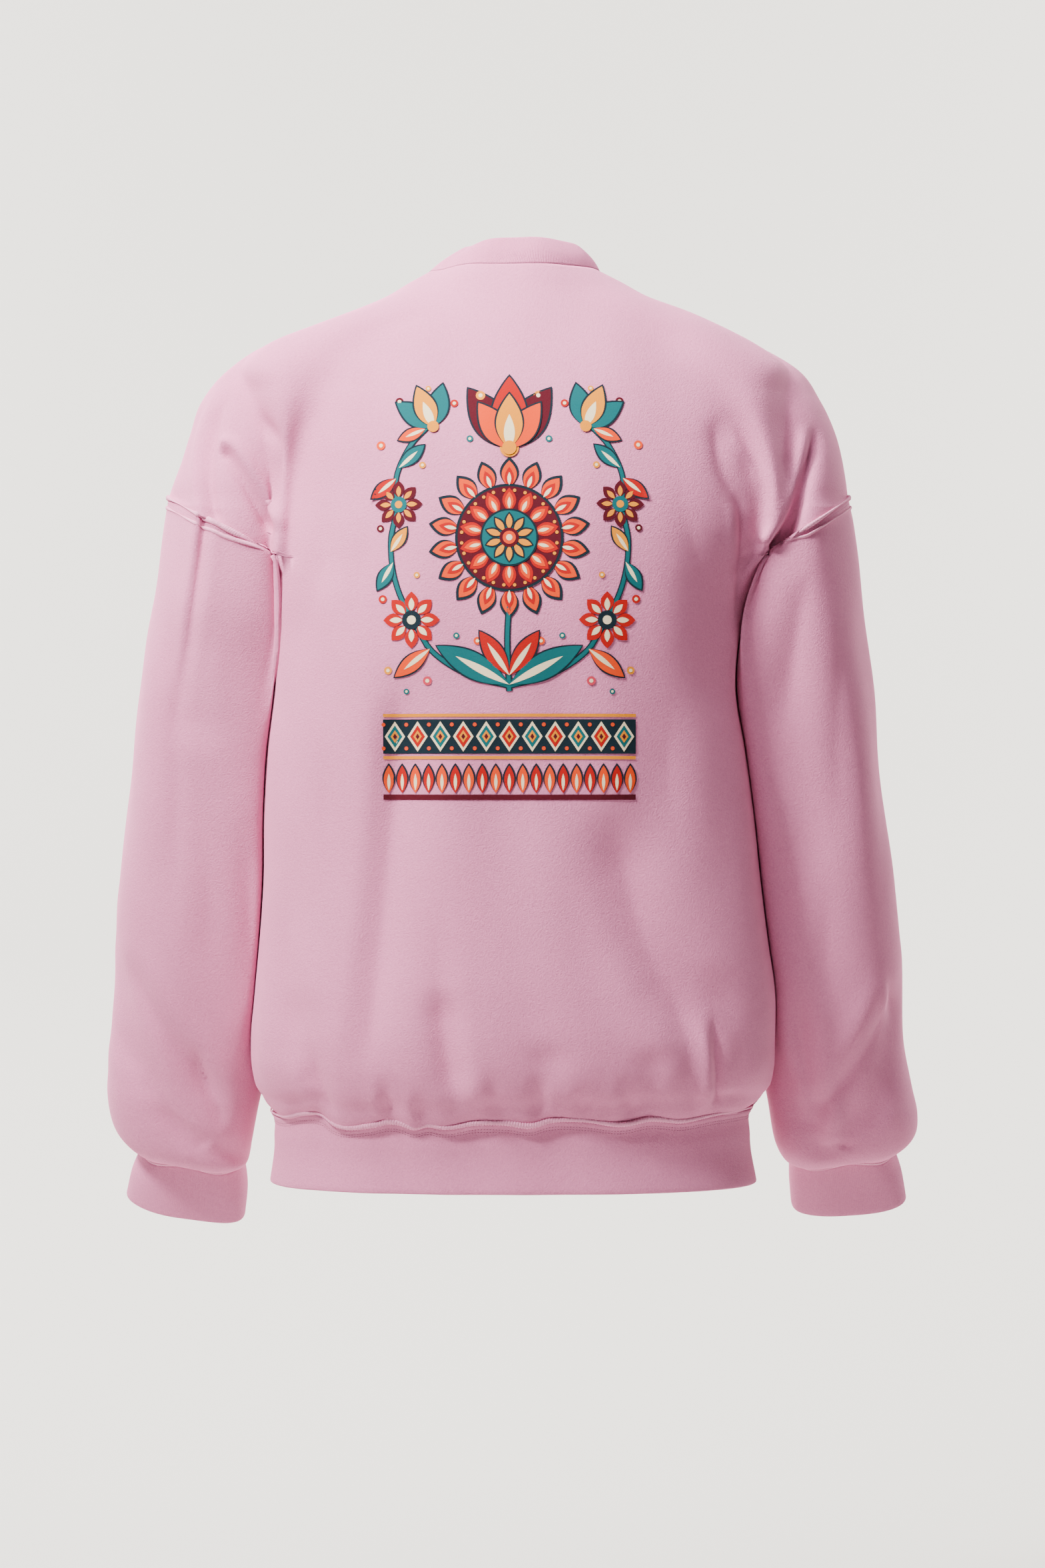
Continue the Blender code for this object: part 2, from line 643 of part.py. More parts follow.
def open_seams(piece):
    """Pull every edge of a piece back by half the seam gap, square to the shared normal."""
    points, triangles, normals = piece["points"], piece["triangles"], piece["normals"]
    piece["seams"] = points.tolist()
    faces = unit(face_areas(points, triangles))
    pulls = {}
    for start, end, number in open_edges(triangles):
        face = faces[number]
        into = unit(np.cross(face, points[end] - points[start]))
        for corner in (start, end):
            normal = normals[corner]
            pull = unit(into * np.dot(normal, face) - face * np.dot(normal, into))
            pulls.setdefault(corner, []).append(pull)
    moved = points.copy()
    for corner, (one, two) in pulls.items():
        moved[corner] += (one + two) / max(1 + np.dot(one, two), SHARPEST_MITRE) * SEAM_GAP / 2
    piece["points"] = moved


def wall_faces(piece):
    """Outer face, inner face (its points follow the outer ones) and the rims between them."""
    triangles, seams, count = piece["triangles"], piece["seams"], len(piece["points"])
    faces = triangles.tolist() + (count + triangles[:, ::-1]).tolist()
    for start, end, _ in open_edges(triangles):
        corners = [end, start, count + start, count + end]
        if seams[start] < seams[end]:       # both pieces at a seam split their rims alike
            corners = corners[1:] + corners[:1]
        faces += [corners[:3], [corners[2], corners[3], corners[0]]]
    return faces


def cloth_material(name, shade, roughness):
    material = bpy.data.materials.new(name)
    material.use_nodes = True
    shader = material.node_tree.nodes["Principled BSDF"]
    shader.inputs["Base Color"].default_value = tuple(shade * c for c in PINK) + (1.0,)
    shader.inputs["Roughness"].default_value = roughness
    shader.inputs["Metallic"].default_value = 0.0
    return material


def wall_object(name, piece, collection):
    """A closed wall: the outer sheet, and the inner one a wall's thickness behind it."""
    outer = piece["points"]
    inner = outer - piece["normals"] * piece["wall"]
    mesh = bpy.data.meshes.new(name)
    mesh.from_pydata((np.vstack([outer, inner]) * MM).tolist(), [], wall_faces(piece))
    mesh.shade_smooth()
    mesh.set_sharp_from_angle(angle=math.radians(SHARP_ANGLE))
    mesh.materials.append(cloth_material(name, piece["shade"], piece["roughness"]))
    built = bpy.data.objects.new(name, mesh)
    collection.objects.link(built)
    return built


# ---------------------------------------------------------------- the garment
def fleece(grid, closed):
    points, triangles = sheet_of(grid, closed)
    return {"points": points, "triangles": triangles, "wall": FLEECE_WALL, "shade": 1.0,
            "roughness": 0.95}


def rib(grid):
    points, triangles = sheet_of(grid, True)
    return {"points": points, "triangles": triangles, "wall": RIB_WALL, "shade": RIB_SHADE,
            "roughness": 0.9}


def cut_pieces():
    """Every piece's outer sheet, with pieces sharing their points along the seams."""
    back, front = panel_grid("back"), panel_grid("front")
    pieces = {"back": fleece(back, False), "front": fleece(front, False)}
    pieces["neck_rib"] = rib(collar_grid(closed_ring(back[0], front[0])))
    pieces["waistband"] = rib(waistband_grid())
    for side, sleeve_rows, cuff_rows, folds in (
            ("left", SLEEVE_LEFT, CUFF_LEFT, SLEEVE_FOLDS_LEFT),
            ("right", SLEEVE_RIGHT, CUFF_RIGHT, SLEEVE_FOLDS_RIGHT)):
        armhole = armhole_ring(back, front, side)
        sleeve, shares = sleeve_grid(sleeve_rows, folds, side, armhole)
        pieces["sleeve_" + side] = fleece(sleeve, True)
        pieces["cuff_" + side] = rib(cuff_grid(cuff_rows, side, shares, sleeve[-1]))
    return pieces


def clear_scene():
    for old in list(bpy.data.objects):
        bpy.data.objects.remove(old, do_unlink=True)


def build():
    clear_scene()
    collection = bpy.data.collections.new(COLLECTION_NAME)
    bpy.context.scene.collection.children.link(collection)
    pieces = cut_pieces()
    share_normals(pieces)
    for name, piece in pieces.items():
        open_seams(piece)
        wall_object(name, piece, collection)


build()
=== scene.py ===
# %% [markdown]
# # A pink crewneck sweatshirt in its worn, hollow form
# The frame gives eight plain walls: back, front, two sleeves, collar, waistband and two
# cuffs. This lesson dresses each one in cloth: thin shells on the same form with finer
# folds, overlocked seams, stitches, rib knit and a printed design on the back.

# %% Load the frame
import math

import bpy
import numpy as np
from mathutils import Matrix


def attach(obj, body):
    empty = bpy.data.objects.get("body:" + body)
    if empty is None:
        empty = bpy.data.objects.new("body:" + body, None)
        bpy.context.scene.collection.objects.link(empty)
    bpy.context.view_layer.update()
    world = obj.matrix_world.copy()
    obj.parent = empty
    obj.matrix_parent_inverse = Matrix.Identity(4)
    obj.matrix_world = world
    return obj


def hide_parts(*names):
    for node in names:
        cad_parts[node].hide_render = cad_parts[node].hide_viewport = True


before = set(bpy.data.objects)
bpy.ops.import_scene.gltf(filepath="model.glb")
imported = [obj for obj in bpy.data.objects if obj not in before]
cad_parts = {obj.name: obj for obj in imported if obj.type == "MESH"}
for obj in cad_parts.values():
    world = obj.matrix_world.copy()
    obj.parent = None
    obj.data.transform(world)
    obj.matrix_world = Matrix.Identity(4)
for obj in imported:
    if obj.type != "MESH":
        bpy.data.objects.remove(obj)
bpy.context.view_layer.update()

# %% [markdown]
# ## The form
# A sweatshirt has no straight edge to measure, so its form is written as short tables: the
# body's section at each height, the upper arm inside the panels, and the rings of the
# sleeves. They are the same sizes that the solid parts were made from, so that the cloth
# lies on them. All tables are in millimetres, with +Z up and the wearer's front at -Y.

# %% Sizes of the cut
MM = 0.001
FLEECE_WALL, RIB_WALL = 2.2, 2.6
SLEEVE_CLEARANCE = 0.9
NECK_HEIGHT, BACK_NECK_DROP, FRONT_NECK_DROP = 0.0, 2.0, 86.0
ARMHOLE_TOP, ARMHOLE_CREASE, UNDERARM = -180.0, -230.0, -240.0
ARMHOLE_SLOPE, CREASE_DEPTH = 0.9, 72.0
HEM_TUCK, HEM_SEAM, HEM_EDGE = -644.0, -670.0, -722.0
NECK_CURVE, FLANK_SHARE, BLEND_POWER = 0.55, 0.2, 4
COLLAR_LEAN_SIDE, COLLAR_LEAN_BACK, COLLAR_SHIFT = 21.0, 10.0, 6.0
COLLAR_RISE, COLLAR_SAG, COLLAR_ROUNDNESS = 22.0, 3.0, 2.0
SLEEVE_SQUARE, SLEEVE_INNER_SQUARE, ARMHOLE_REACH = 2.3, 3.0, 3.0
FOLD_ENDS, FOLD_FREE_DEPTH, SLEEVE_ROW_LENGTH = 0.3, 40.0, 55.0

TORSO = {
    "columns": ("height", "left", "right", "back", "front", "middle", "square"),
    "rows": [
        (0, 75, 62, 62, 54, 0, 2.0),
        (-10, 93, 82, 69, 57, 0, 2.0),
        (-22, 113, 104, 76, 60, 0, 2.0),
        (-35, 143, 138, 84, 64, 0, 2.0),
        (-45, 168, 160, 90, 67, 0, 2.0),
        (-58, 200, 184, 97, 71, 0, 2.05),
        (-78, 222, 208, 107, 78, 0, 2.1),
        (-103, 214, 208, 118, 88, 1, 2.2),
        (-130, 204, 208, 127, 99, 2, 2.3),
        (-156, 199, 211, 133, 109, 3, 2.35),
        (-186, 197, 212, 138, 119, 4, 2.4),
        (-210, 197.5, 205, 140, 125, 5, 2.45),
        (-240, 198, 190, 141, 131, 6, 2.5),
        (-262, 197.5, 180, 140, 135, 8, 2.5),
        (-293, 196, 173, 138, 137, 10, 2.5),
        (-330, 198, 170, 133, 138, 13, 2.5),
        (-380, 203, 177, 126, 137, 16, 2.5),
        (-430, 205, 183, 121, 136, 18, 2.5),
        (-480, 205, 188, 119, 135, 19, 2.5),
        (-530, 208, 194, 119, 134, 19, 2.5),
        (-574, 212, 200, 121, 134, 18, 2.5),
        (-610, 215, 200, 122, 133, 16, 2.5),
        (-635, 214, 199, 120, 130, 14, 2.5),
        (-652, 210, 195, 115, 124, 12, 2.5),
        (-664, 203, 187, 108, 117, 10, 2.5),
        (-670, 197, 180, 102, 112, 9, 2.5),
        (-690, 197, 180, 100, 109, 8, 2.5),
        (-722, 201, 186, 101, 110, 7, 2.5),
    ],
}
SHOULDER = {
    "columns": ("height", "out_left", "out_right", "in_left", "in_right", "depth",
                "crease_left", "crease_right"),
    "rows": [
        (0, 75, 62, 30, 25, 3, 50, 42),
        (-10, 93, 82, 35, 30, 12, 65, 58),
        (-22, 113, 104, 42, 36, 26, 84, 77),
        (-35, 143, 138, 55, 48, 35, 108, 102),
        (-45, 169, 160, 70, 62, 42, 128, 118),
        (-58, 204, 186, 96, 84, 47, 150, 136),
        (-78, 235, 220, 120, 108, 55, 170, 156),
        (-103, 256, 238, 140, 130, 63, 182, 174),
        (-130, 265, 250, 156, 150, 69, 189, 187),
        (-156, 273, 256, 166, 166, 73, 192, 194),
        (-180, 282, 259.5, 170, 174, 76, 192, 197),
        (-208, 286, 263, 172, 175, 79, 192, 197),
        (-240, 290, 268, 173, 170, 80, 189, 184),
    ],
}
# Sleeve rows: height and x of the outer and inner side, y of the middle, half-depth, lean.
SLEEVE_COLUMNS = ("out_height", "out", "in_height", "in", "middle", "depth", "lean")
SLEEVE = {
    "left": [
        (-180, 282, -240, 198, 4, 80, 0),
        (-250, 292.5, -290, 189, 2, 80, 0),
        (-319, 305, -345, 188, -2, 75, 0),
        (-379, 313, -398, 191, -6, 69, 1),
        (-443, 321, -458, 194, -10, 64, 3),
        (-513, 327, -526, 196, -16, 60, 6),
        (-575, 330, -588, 201, -24, 57, 9),
        (-625, 334, -640, 208, -34, 54, 12),
        (-653, 338, -672, 215, -42, 52, 15),
        (-677, 335, -697, 220, -49, 49, 18),
        (-691, 326, -710, 223, -54, 43, 20),
        (-702, 309, -713, 228, -57, 31, 21),
    ],
    "right": [
        (-180, 259.5, -240, 190, 4, 80, 0),
        (-250, 270, -288, 168, 2, 80, 0),
        (-319, 280, -345, 161, -2, 75, 0),
        (-385, 287, -402, 166, -6, 69, 1),
        (-440, 293.5, -456, 173, -10, 64, 3),
        (-510, 302, -524, 181, -16, 60, 6),
        (-572, 308, -586, 188, -24, 57, 9),
        (-617, 310, -634, 193, -34, 54, 12),
        (-652, 316, -664, 199, -42, 52, 15),
        (-674, 321, -692, 204, -48, 49, 18),
        (-690, 319, -706, 211, -53, 43, 20),
        (-702, 302, -710, 218, -57, 31, 21),
    ],
}
# A cuff starts on its sleeve's last row.
CUFF = {
    "left": [SLEEVE["left"][-1], (-722, 319, -736, 226, -64, 29, 22),
             (-742, 325, -758, 228, -71, 27, 24)],
    "right": [SLEEVE["right"][-1], (-722, 310, -730, 218, -64, 29, 22),
              (-745, 315, -750, 220, -71, 27, 24)],
}
SIDES = {"left": 1, "right": -1}
FACES = {"back": 1, "front": -1}
print("body table", len(TORSO["rows"]), "rows, sleeves", len(SLEEVE["left"]), "rows")

# %% [markdown]
# ## Reading the tables
# A curve through a few measured rows is smoother and easier to change than hundreds of
# points. Each column is read with a cubic curve whose slopes come from its neighbours.

# %% Smooth curves through the rows
def smooth_read(places, values, at):
    places, values = np.asarray(places, float), np.asarray(values, float)
    slopes = np.gradient(values, places)
    at = np.clip(at, places[0], places[-1])
    row = np.clip(np.searchsorted(places, at) - 1, 0, len(places) - 2)
    step = places[row + 1] - places[row]
    part = (at - places[row]) / step
    rise = values[row + 1] - values[row]
    start, end = slopes[row] * step, slopes[row + 1] * step
    return values[row] + part * (start + part * (3 * rise - 2 * start - end
                                                 + part * (start + end - 2 * rise)))


def at_height(table, column, height):
    index = table["columns"].index(column)
    rows = table["rows"][::-1]
    return smooth_read([row[0] for row in rows], [row[index] for row in rows], height)


def at_row(rows, column, place):
    index = SLEEVE_COLUMNS.index(column)
    return smooth_read(range(len(rows)), [row[index] for row in rows], place)


def fade(part):
    """0 to 1 with flat ends."""
    part = np.clip(part, 0, 1)
    return part * part * (3 - 2 * part)


def between(start, end, part):
    return start + (end - start) * part


def sided(table, column, x, height):
    return np.where(x > 0, at_height(table, column + "left", height),
                    at_height(table, column + "right", height))


def lengths(points):
    return np.concatenate([[0], np.cumsum(np.linalg.norm(np.diff(points, axis=0), axis=1))])


def read_along(points, shares):
    """Points of a fine curve at the given shares of its length."""
    length = lengths(points)
    places = np.asarray(shares) * length[-1]
    return np.stack([np.interp(places, length, points[:, axis]) for axis in range(3)], axis=-1)


print("half chest width", round(float(at_height(TORSO, "left", -300.0)), 1), "mm")

# %% [markdown]
# ## Broad folds
# The largest folds are in the solid parts. They are straight troughs that fade at both
# ends, and the cloth starts from the same ones, so that nothing of the solids pokes out.

# %% Broad folds of the panels
# Columns: x0, z0, x1, z1, bow, width, depth.
BROAD_FOLDS = {
    "back": [
        (-236, -106, -212, -204, 4, 13, 7),
        (-150, -118, -172, -206, 0, 17, 6),
        (240, -134, 200, -218, 0, 15, 3),
        (222, -92, 197, -146, 0, 14, 4),
        (162, -104, 182, -196, -6, 16, 5),
        (134, -148, 158, -268, -8, 20, 7),
        (92, -310, 120, -630, -6, 24, 8),
        (63, -560, 50, -652, 0, 16, 6),
        (-64, -410, -150, -612, 16, 30, 11),
        (-142, -540, -152, -664, -8, 17, 6),
        (172, -560, 160, -664, 0, 16, 5),
        (-20, -600, -16, -666, 0, 15, 4),
        (-98, -606, -104, -666, 0, 14, 4),
    ],
    "front": [
        (236, -118, 204, -214, 5, 14, 6),
        (-232, -112, -208, -206, 5, 14, 6),
        (150, -180, 92, -296, 10, 20, 6),
        (-150, -176, -88, -280, 10, 20, 6),
        (128, -330, 142, -636, -10, 26, 9),
        (-78, -360, -132, -634, 12, 26, 10),
        (30, -470, 44, -650, 8, 22, 7),
        (-36, -590, -30, -666, 0, 16, 4),
        (92, -600, 98, -666, 0, 15, 4),
        (-160, -550, -156, -666, 0, 17, 5),
    ],
}
# Columns: angle0, row0, angle1, row1, width, depth; 0 outer side, 90 back, 180 inner side.
BROAD_SLEEVE_FOLDS = {
    "left": [
        (20, 1.2, 15, 5.0, 20, 3), (70, 1.0, 85, 3.0, 22, 4), (5, 4.8, 120, 9.6, 17, 6),
        (85, 6.2, 150, 9.8, 14, 5), (215, 0.8, 245, 3.4, 22, 4), (340, 4.4, 245, 9.0, 18, 6),
        (250, 6.2, 200, 9.6, 15, 5), (300, 2.4, 280, 4.8, 22, 4),
    ],
    "right": [
        (35, 0.6, 25, 4.6, 20, 3), (105, 1.0, 115, 5.2, 24, 4), (15, 5.4, 100, 9.6, 17, 5),
        (150, 6.0, 105, 9.8, 15, 5), (220, 0.8, 245, 3.6, 22, 4), (340, 4.6, 250, 9.2, 18, 6),
        (240, 6.0, 200, 9.4, 15, 5), (295, 2.4, 285, 5.0, 22, 4),
    ],
}


def fold_ends(part):
    return fade(part / FOLD_ENDS) * fade((1 - part) / FOLD_ENDS)


def broad_fold_depth(folds, x, height):
    total = np.zeros_like(x)
    for x0, z0, x1, z1, bow, width, depth in folds:
        length = math.hypot(x1 - x0, z1 - z0)
        along_x, along_z = (x1 - x0) / length, (z1 - z0) / length
        part = ((x - x0) * along_x + (height - z0) * along_z) / length
        across = (height - z0) * along_x - (x - x0) * along_z
        across = across - bow * np.sin(math.pi * np.clip(part, 0, 1))
        total += depth * fold_ends(part) * np.exp(-(across / width) ** 2)
    return total


def sleeve_fold_depth(folds, shares, place, girth):
    angles = 2 * math.pi * shares
    total = np.zeros_like(angles)
    for angle0, row0, angle1, row1, width, depth in folds:
        part = (place - row0) / (row1 - row0)
        if not 0 < part < 1:
            continue
        centre = math.radians(angle0 + (angle1 - angle0) * part)
        slant = math.radians(angle1 - angle0) * girth / ((row1 - row0) * SLEEVE_ROW_LENGTH)
        turn = (angles - centre + math.pi) % (2 * math.pi) - math.pi
        across = turn * girth / math.hypot(1, slant)
        total += depth * fold_ends(part) * np.exp(-(across / width) ** 2)
    return total


print("broad folds", {name: len(folds) for name, folds in BROAD_FOLDS.items()})

# %% [markdown]
# ## Rows of a panel
# A panel is a grid of cloth: rows run across it and columns run down it, as the knit does.
# The upper rows end on the shoulder seam, the next ones on the armhole, and the rest at the
# side seam, where a few columns are added under the arm.

# %% Fine rows of the panels
SHOULDER_ROWS, ARM_ROWS, SIDE_ROWS, TUCK_ROWS = 82, 33, 92, 9
CENTRE_COLUMNS, FLANK_COLUMNS, UNDERARM_COLUMNS = 56, 44, 12
COLUMN_CROWDING = 1.25   # columns stand closer toward the side, where the creases are
ROW_SAMPLES = 481
UNDERARM_BLEND = 0.6
CORNER_FILL, CORNER_PLACE, CORNER_WIDTH = 5.0, 66.0, 17.0
CORNER_TOP, CORNER_TOP_FADE, CORNER_FOOT, CORNER_FOOT_FADE = -228, 16, -662, 40
# The share of the broad folds low down and high up, and the heights where it changes.
BROAD_LOW, BROAD_HIGH, BROAD_CHANGE, BROAD_CHANGE_FADE = 0.8, 0.25, -330, 130
# Cloth spans the valley between body and arm at the armpit.
VALLEY_FILL, VALLEY_WIDTH, VALLEY_SHALLOW = 12.0, 26.0, 40.0


def panel_depth(panel, x, height, over_arm):
    """How far a panel's cloth lies from the middle plane: body and arm run into each other."""
    square = at_height(TORSO, "square", height)
    outer = sided(SHOULDER, "out_", x, height)
    inner = sided(SHOULDER, "in_", x, height)
    across = np.clip(np.abs(x) / np.minimum(sided(TORSO, "", x, height), outer), 0, 1)
    body = at_height(TORSO, panel, height) * (1 - across ** square) ** (1 / square)
    half = np.maximum((outer - inner) / 2, 1)
    across = np.clip((np.abs(x) - (outer + inner) / 2) / half, -1, 1)
    arm = at_height(SHOULDER, "depth", height) * np.sqrt(1 - across ** 2) if over_arm else 0
    joined = (body ** BLEND_POWER + arm ** BLEND_POWER) ** (1 / BLEND_POWER)
    alike = np.exp(-((body - arm) / VALLEY_WIDTH) ** 2)
    joined = joined + VALLEY_FILL * (alike * fade(np.minimum(body, arm) / VALLEY_SHALLOW))
    share = between(BROAD_LOW, BROAD_HIGH, fade((height - BROAD_CHANGE) / BROAD_CHANGE_FADE))
    return joined - (share * broad_fold_depth(BROAD_FOLDS[panel], x, height)
                     * fade(joined / FOLD_FREE_DEPTH))


def panel_point(panel, x, height, over_arm):
    depth = panel_depth(panel, x, height, over_arm)
    return np.stack([x, at_height(TORSO, "middle", height) + FACES[panel] * depth, height],
                    axis=-1)


def corner_fill(from_middle, height):
    """Cloth pressed flat between body and sleeve fills the body's round corner a little."""
    inside = (fade((CORNER_TOP - height) / CORNER_TOP_FADE)
              * fade((height - CORNER_FOOT) / CORNER_FOOT_FADE))
    off = (np.abs(from_middle) - CORNER_PLACE) / CORNER_WIDTH
    return CORNER_FILL * inside * np.exp(-off ** 2)


def torso_reach(panel, from_middle, height, side):
    square = at_height(TORSO, "square", height)
    part = np.clip(np.abs(from_middle) / at_height(TORSO, panel, height), 0, 1)
    reach = at_height(TORSO, side, height) * (1 - part ** square) ** (1 / square)
    return reach + corner_fill(from_middle, height)


def fine_half(panel, end_height, middle_height, end_x, side, over_arm):
    reach = np.sin(np.linspace(0, math.pi / 2, ROW_SAMPLES))
    height = between(end_height, middle_height, (1 - reach ** 2) ** NECK_CURVE)
    return panel_point(panel, end_x * reach * SIDES[side], height, over_arm)


def column_shares(points, crease):
    length = lengths(points) / lengths(points)[-1]
    flank = min(np.interp(crease, np.abs(points[:, 0]), length), 1 - FLANK_SHARE)
    centre = 1 - (1 - np.linspace(0, 1, CENTRE_COLUMNS + 1)) ** COLUMN_CROWDING
    return np.concatenate([flank * centre, np.linspace(flank, 1, FLANK_COLUMNS + 1)[1:]])


def upper_half(panel, end_height, middle_height, end_x, side):
    points = fine_half(panel, end_height, middle_height, end_x, side, True)
    crease = at_height(SHOULDER, "crease_" + side, end_height)
    row = read_along(points, column_shares(points, crease))
    return np.vstack([row, np.full((UNDERARM_COLUMNS, 3), np.nan)])


def lower_half(panel, height, side):
    points = fine_half(panel, height, height, at_height(TORSO, side, height), side, False)
    from_middle = np.abs(points[:, 1] - at_height(TORSO, "middle", height))
    points[:, 0] += SIDES[side] * corner_fill(from_middle, height)
    turn = np.argmax(from_middle < CREASE_DEPTH)
    row = read_along(points[:turn + 1], column_shares(points[:turn + 1], math.inf))
    under = read_along(points[turn:], np.linspace(0, 1, UNDERARM_COLUMNS + 1)[1:])
    return np.vstack([row, under])


def underarm_points(panel, side, start):
    """From the armpit's crease, where the row's last point is, to the side seam."""
    part = np.arange(UNDERARM_COLUMNS + 1) / UNDERARM_COLUMNS
    height = between(ARMHOLE_CREASE, UNDERARM, fade(part))
    depth = CREASE_DEPTH * (1 - part)
    x = torso_reach(panel, depth, height, side) * SIDES[side]
    y = at_height(TORSO, "middle", height) + FACES[panel] * depth
    points = np.stack([x, y, height], axis=-1)
    return (points + (start - points[0]) * (1 - fade(part / UNDERARM_BLEND))[:, None])[1:]


def whole_row(halves):
    return np.concatenate([halves["right"][::-1], halves["left"][1:]])


def lower_row(panel, height):
    return whole_row({side: lower_half(panel, height, side) for side in SIDES})


# %% [markdown]
# The grids are then filled row by row. Where the shoulder's rows meet the armhole's, the
# cloth would have a small step, so the rows there are eased into each other.

# %% The panels' grids
EASED_BEFORE, EASED_AFTER, EASE_ROUNDS, EASE_COLUMNS = 7, 9, 16, 7


def shoulder_rows(drop):
    """For each row: height of its ends, height of its middle, x of its ends."""
    heights = np.linspace(NECK_HEIGHT, ARMHOLE_TOP, ROW_SAMPLES)
    out = at_height(SHOULDER, "out_left", heights)
    length = np.concatenate([[0], np.cumsum(np.hypot(np.diff(out), np.diff(heights)))])
    heights = np.interp(np.linspace(0, length[-1], SHOULDER_ROWS + 1), length, heights)
    return [(height, between(-drop, ARMHOLE_TOP, step / SHOULDER_ROWS),
             {side: at_height(SHOULDER, "out_" + side, height) for side in SIDES})
            for step, height in enumerate(heights)]


def armhole_rows():
    rows = []
    for step in range(1, ARM_ROWS + 1):
        part = step / ARM_ROWS
        inward = between(part, 1 - math.cos(math.pi / 2 * part), 0.5)
        ends = {side: between(at_height(SHOULDER, "out_" + side, ARMHOLE_TOP),
                              at_height(SHOULDER, "crease_" + side, ARMHOLE_CREASE), inward)
                for side in SIDES}
        rows.append((between(ARMHOLE_TOP, ARMHOLE_CREASE, inward ** ARMHOLE_SLOPE),
                     between(ARMHOLE_TOP, UNDERARM, part), ends))
    return rows


def side_heights():
    side = [between(UNDERARM, HEM_TUCK, step / SIDE_ROWS) for step in range(1, SIDE_ROWS + 1)]
    tuck = [between(HEM_TUCK, HEM_SEAM, math.sin(math.pi / 2 * step / TUCK_ROWS))
            for step in range(1, TUCK_ROWS + 1)]
    return side + tuck


def ease_rows(grid):
    """Smooths the step where the shoulder's rows meet the armhole's; the seams stay."""
    low, high = SHOULDER_ROWS - EASED_BEFORE, SHOULDER_ROWS + EASED_AFTER
    column = np.arange(grid.shape[1])
    from_seam = np.minimum(column, column[::-1]) - UNDERARM_COLUMNS
    share = 0.5 * fade(from_seam / EASE_COLUMNS)[None, :, None]
    for _ in range(EASE_ROUNDS):
        mean = (grid[low - 1:high - 1] + grid[low + 1:high + 1]) / 2
        grid[low:high] = between(grid[low:high], mean, share)
    return grid


def panel_grid(panel):
    drop = BACK_NECK_DROP if panel == "back" else FRONT_NECK_DROP
    rows = [whole_row({side: upper_half(panel, height, middle, ends[side], side)
                       for side in SIDES})
            for height, middle, ends in shoulder_rows(drop) + armhole_rows()]
    last = rows[-1]
    last[-UNDERARM_COLUMNS:] = underarm_points(panel, "left", last[-UNDERARM_COLUMNS - 1])
    last[:UNDERARM_COLUMNS] = underarm_points(panel, "right", last[UNDERARM_COLUMNS])[::-1]
    rows += [lower_row(panel, height) for height in side_heights()]
    return ease_rows(np.array(rows))


panels = {panel: panel_grid(panel) for panel in FACES}
print("panel grids", {name: grid.shape[:2] for name, grid in panels.items()})
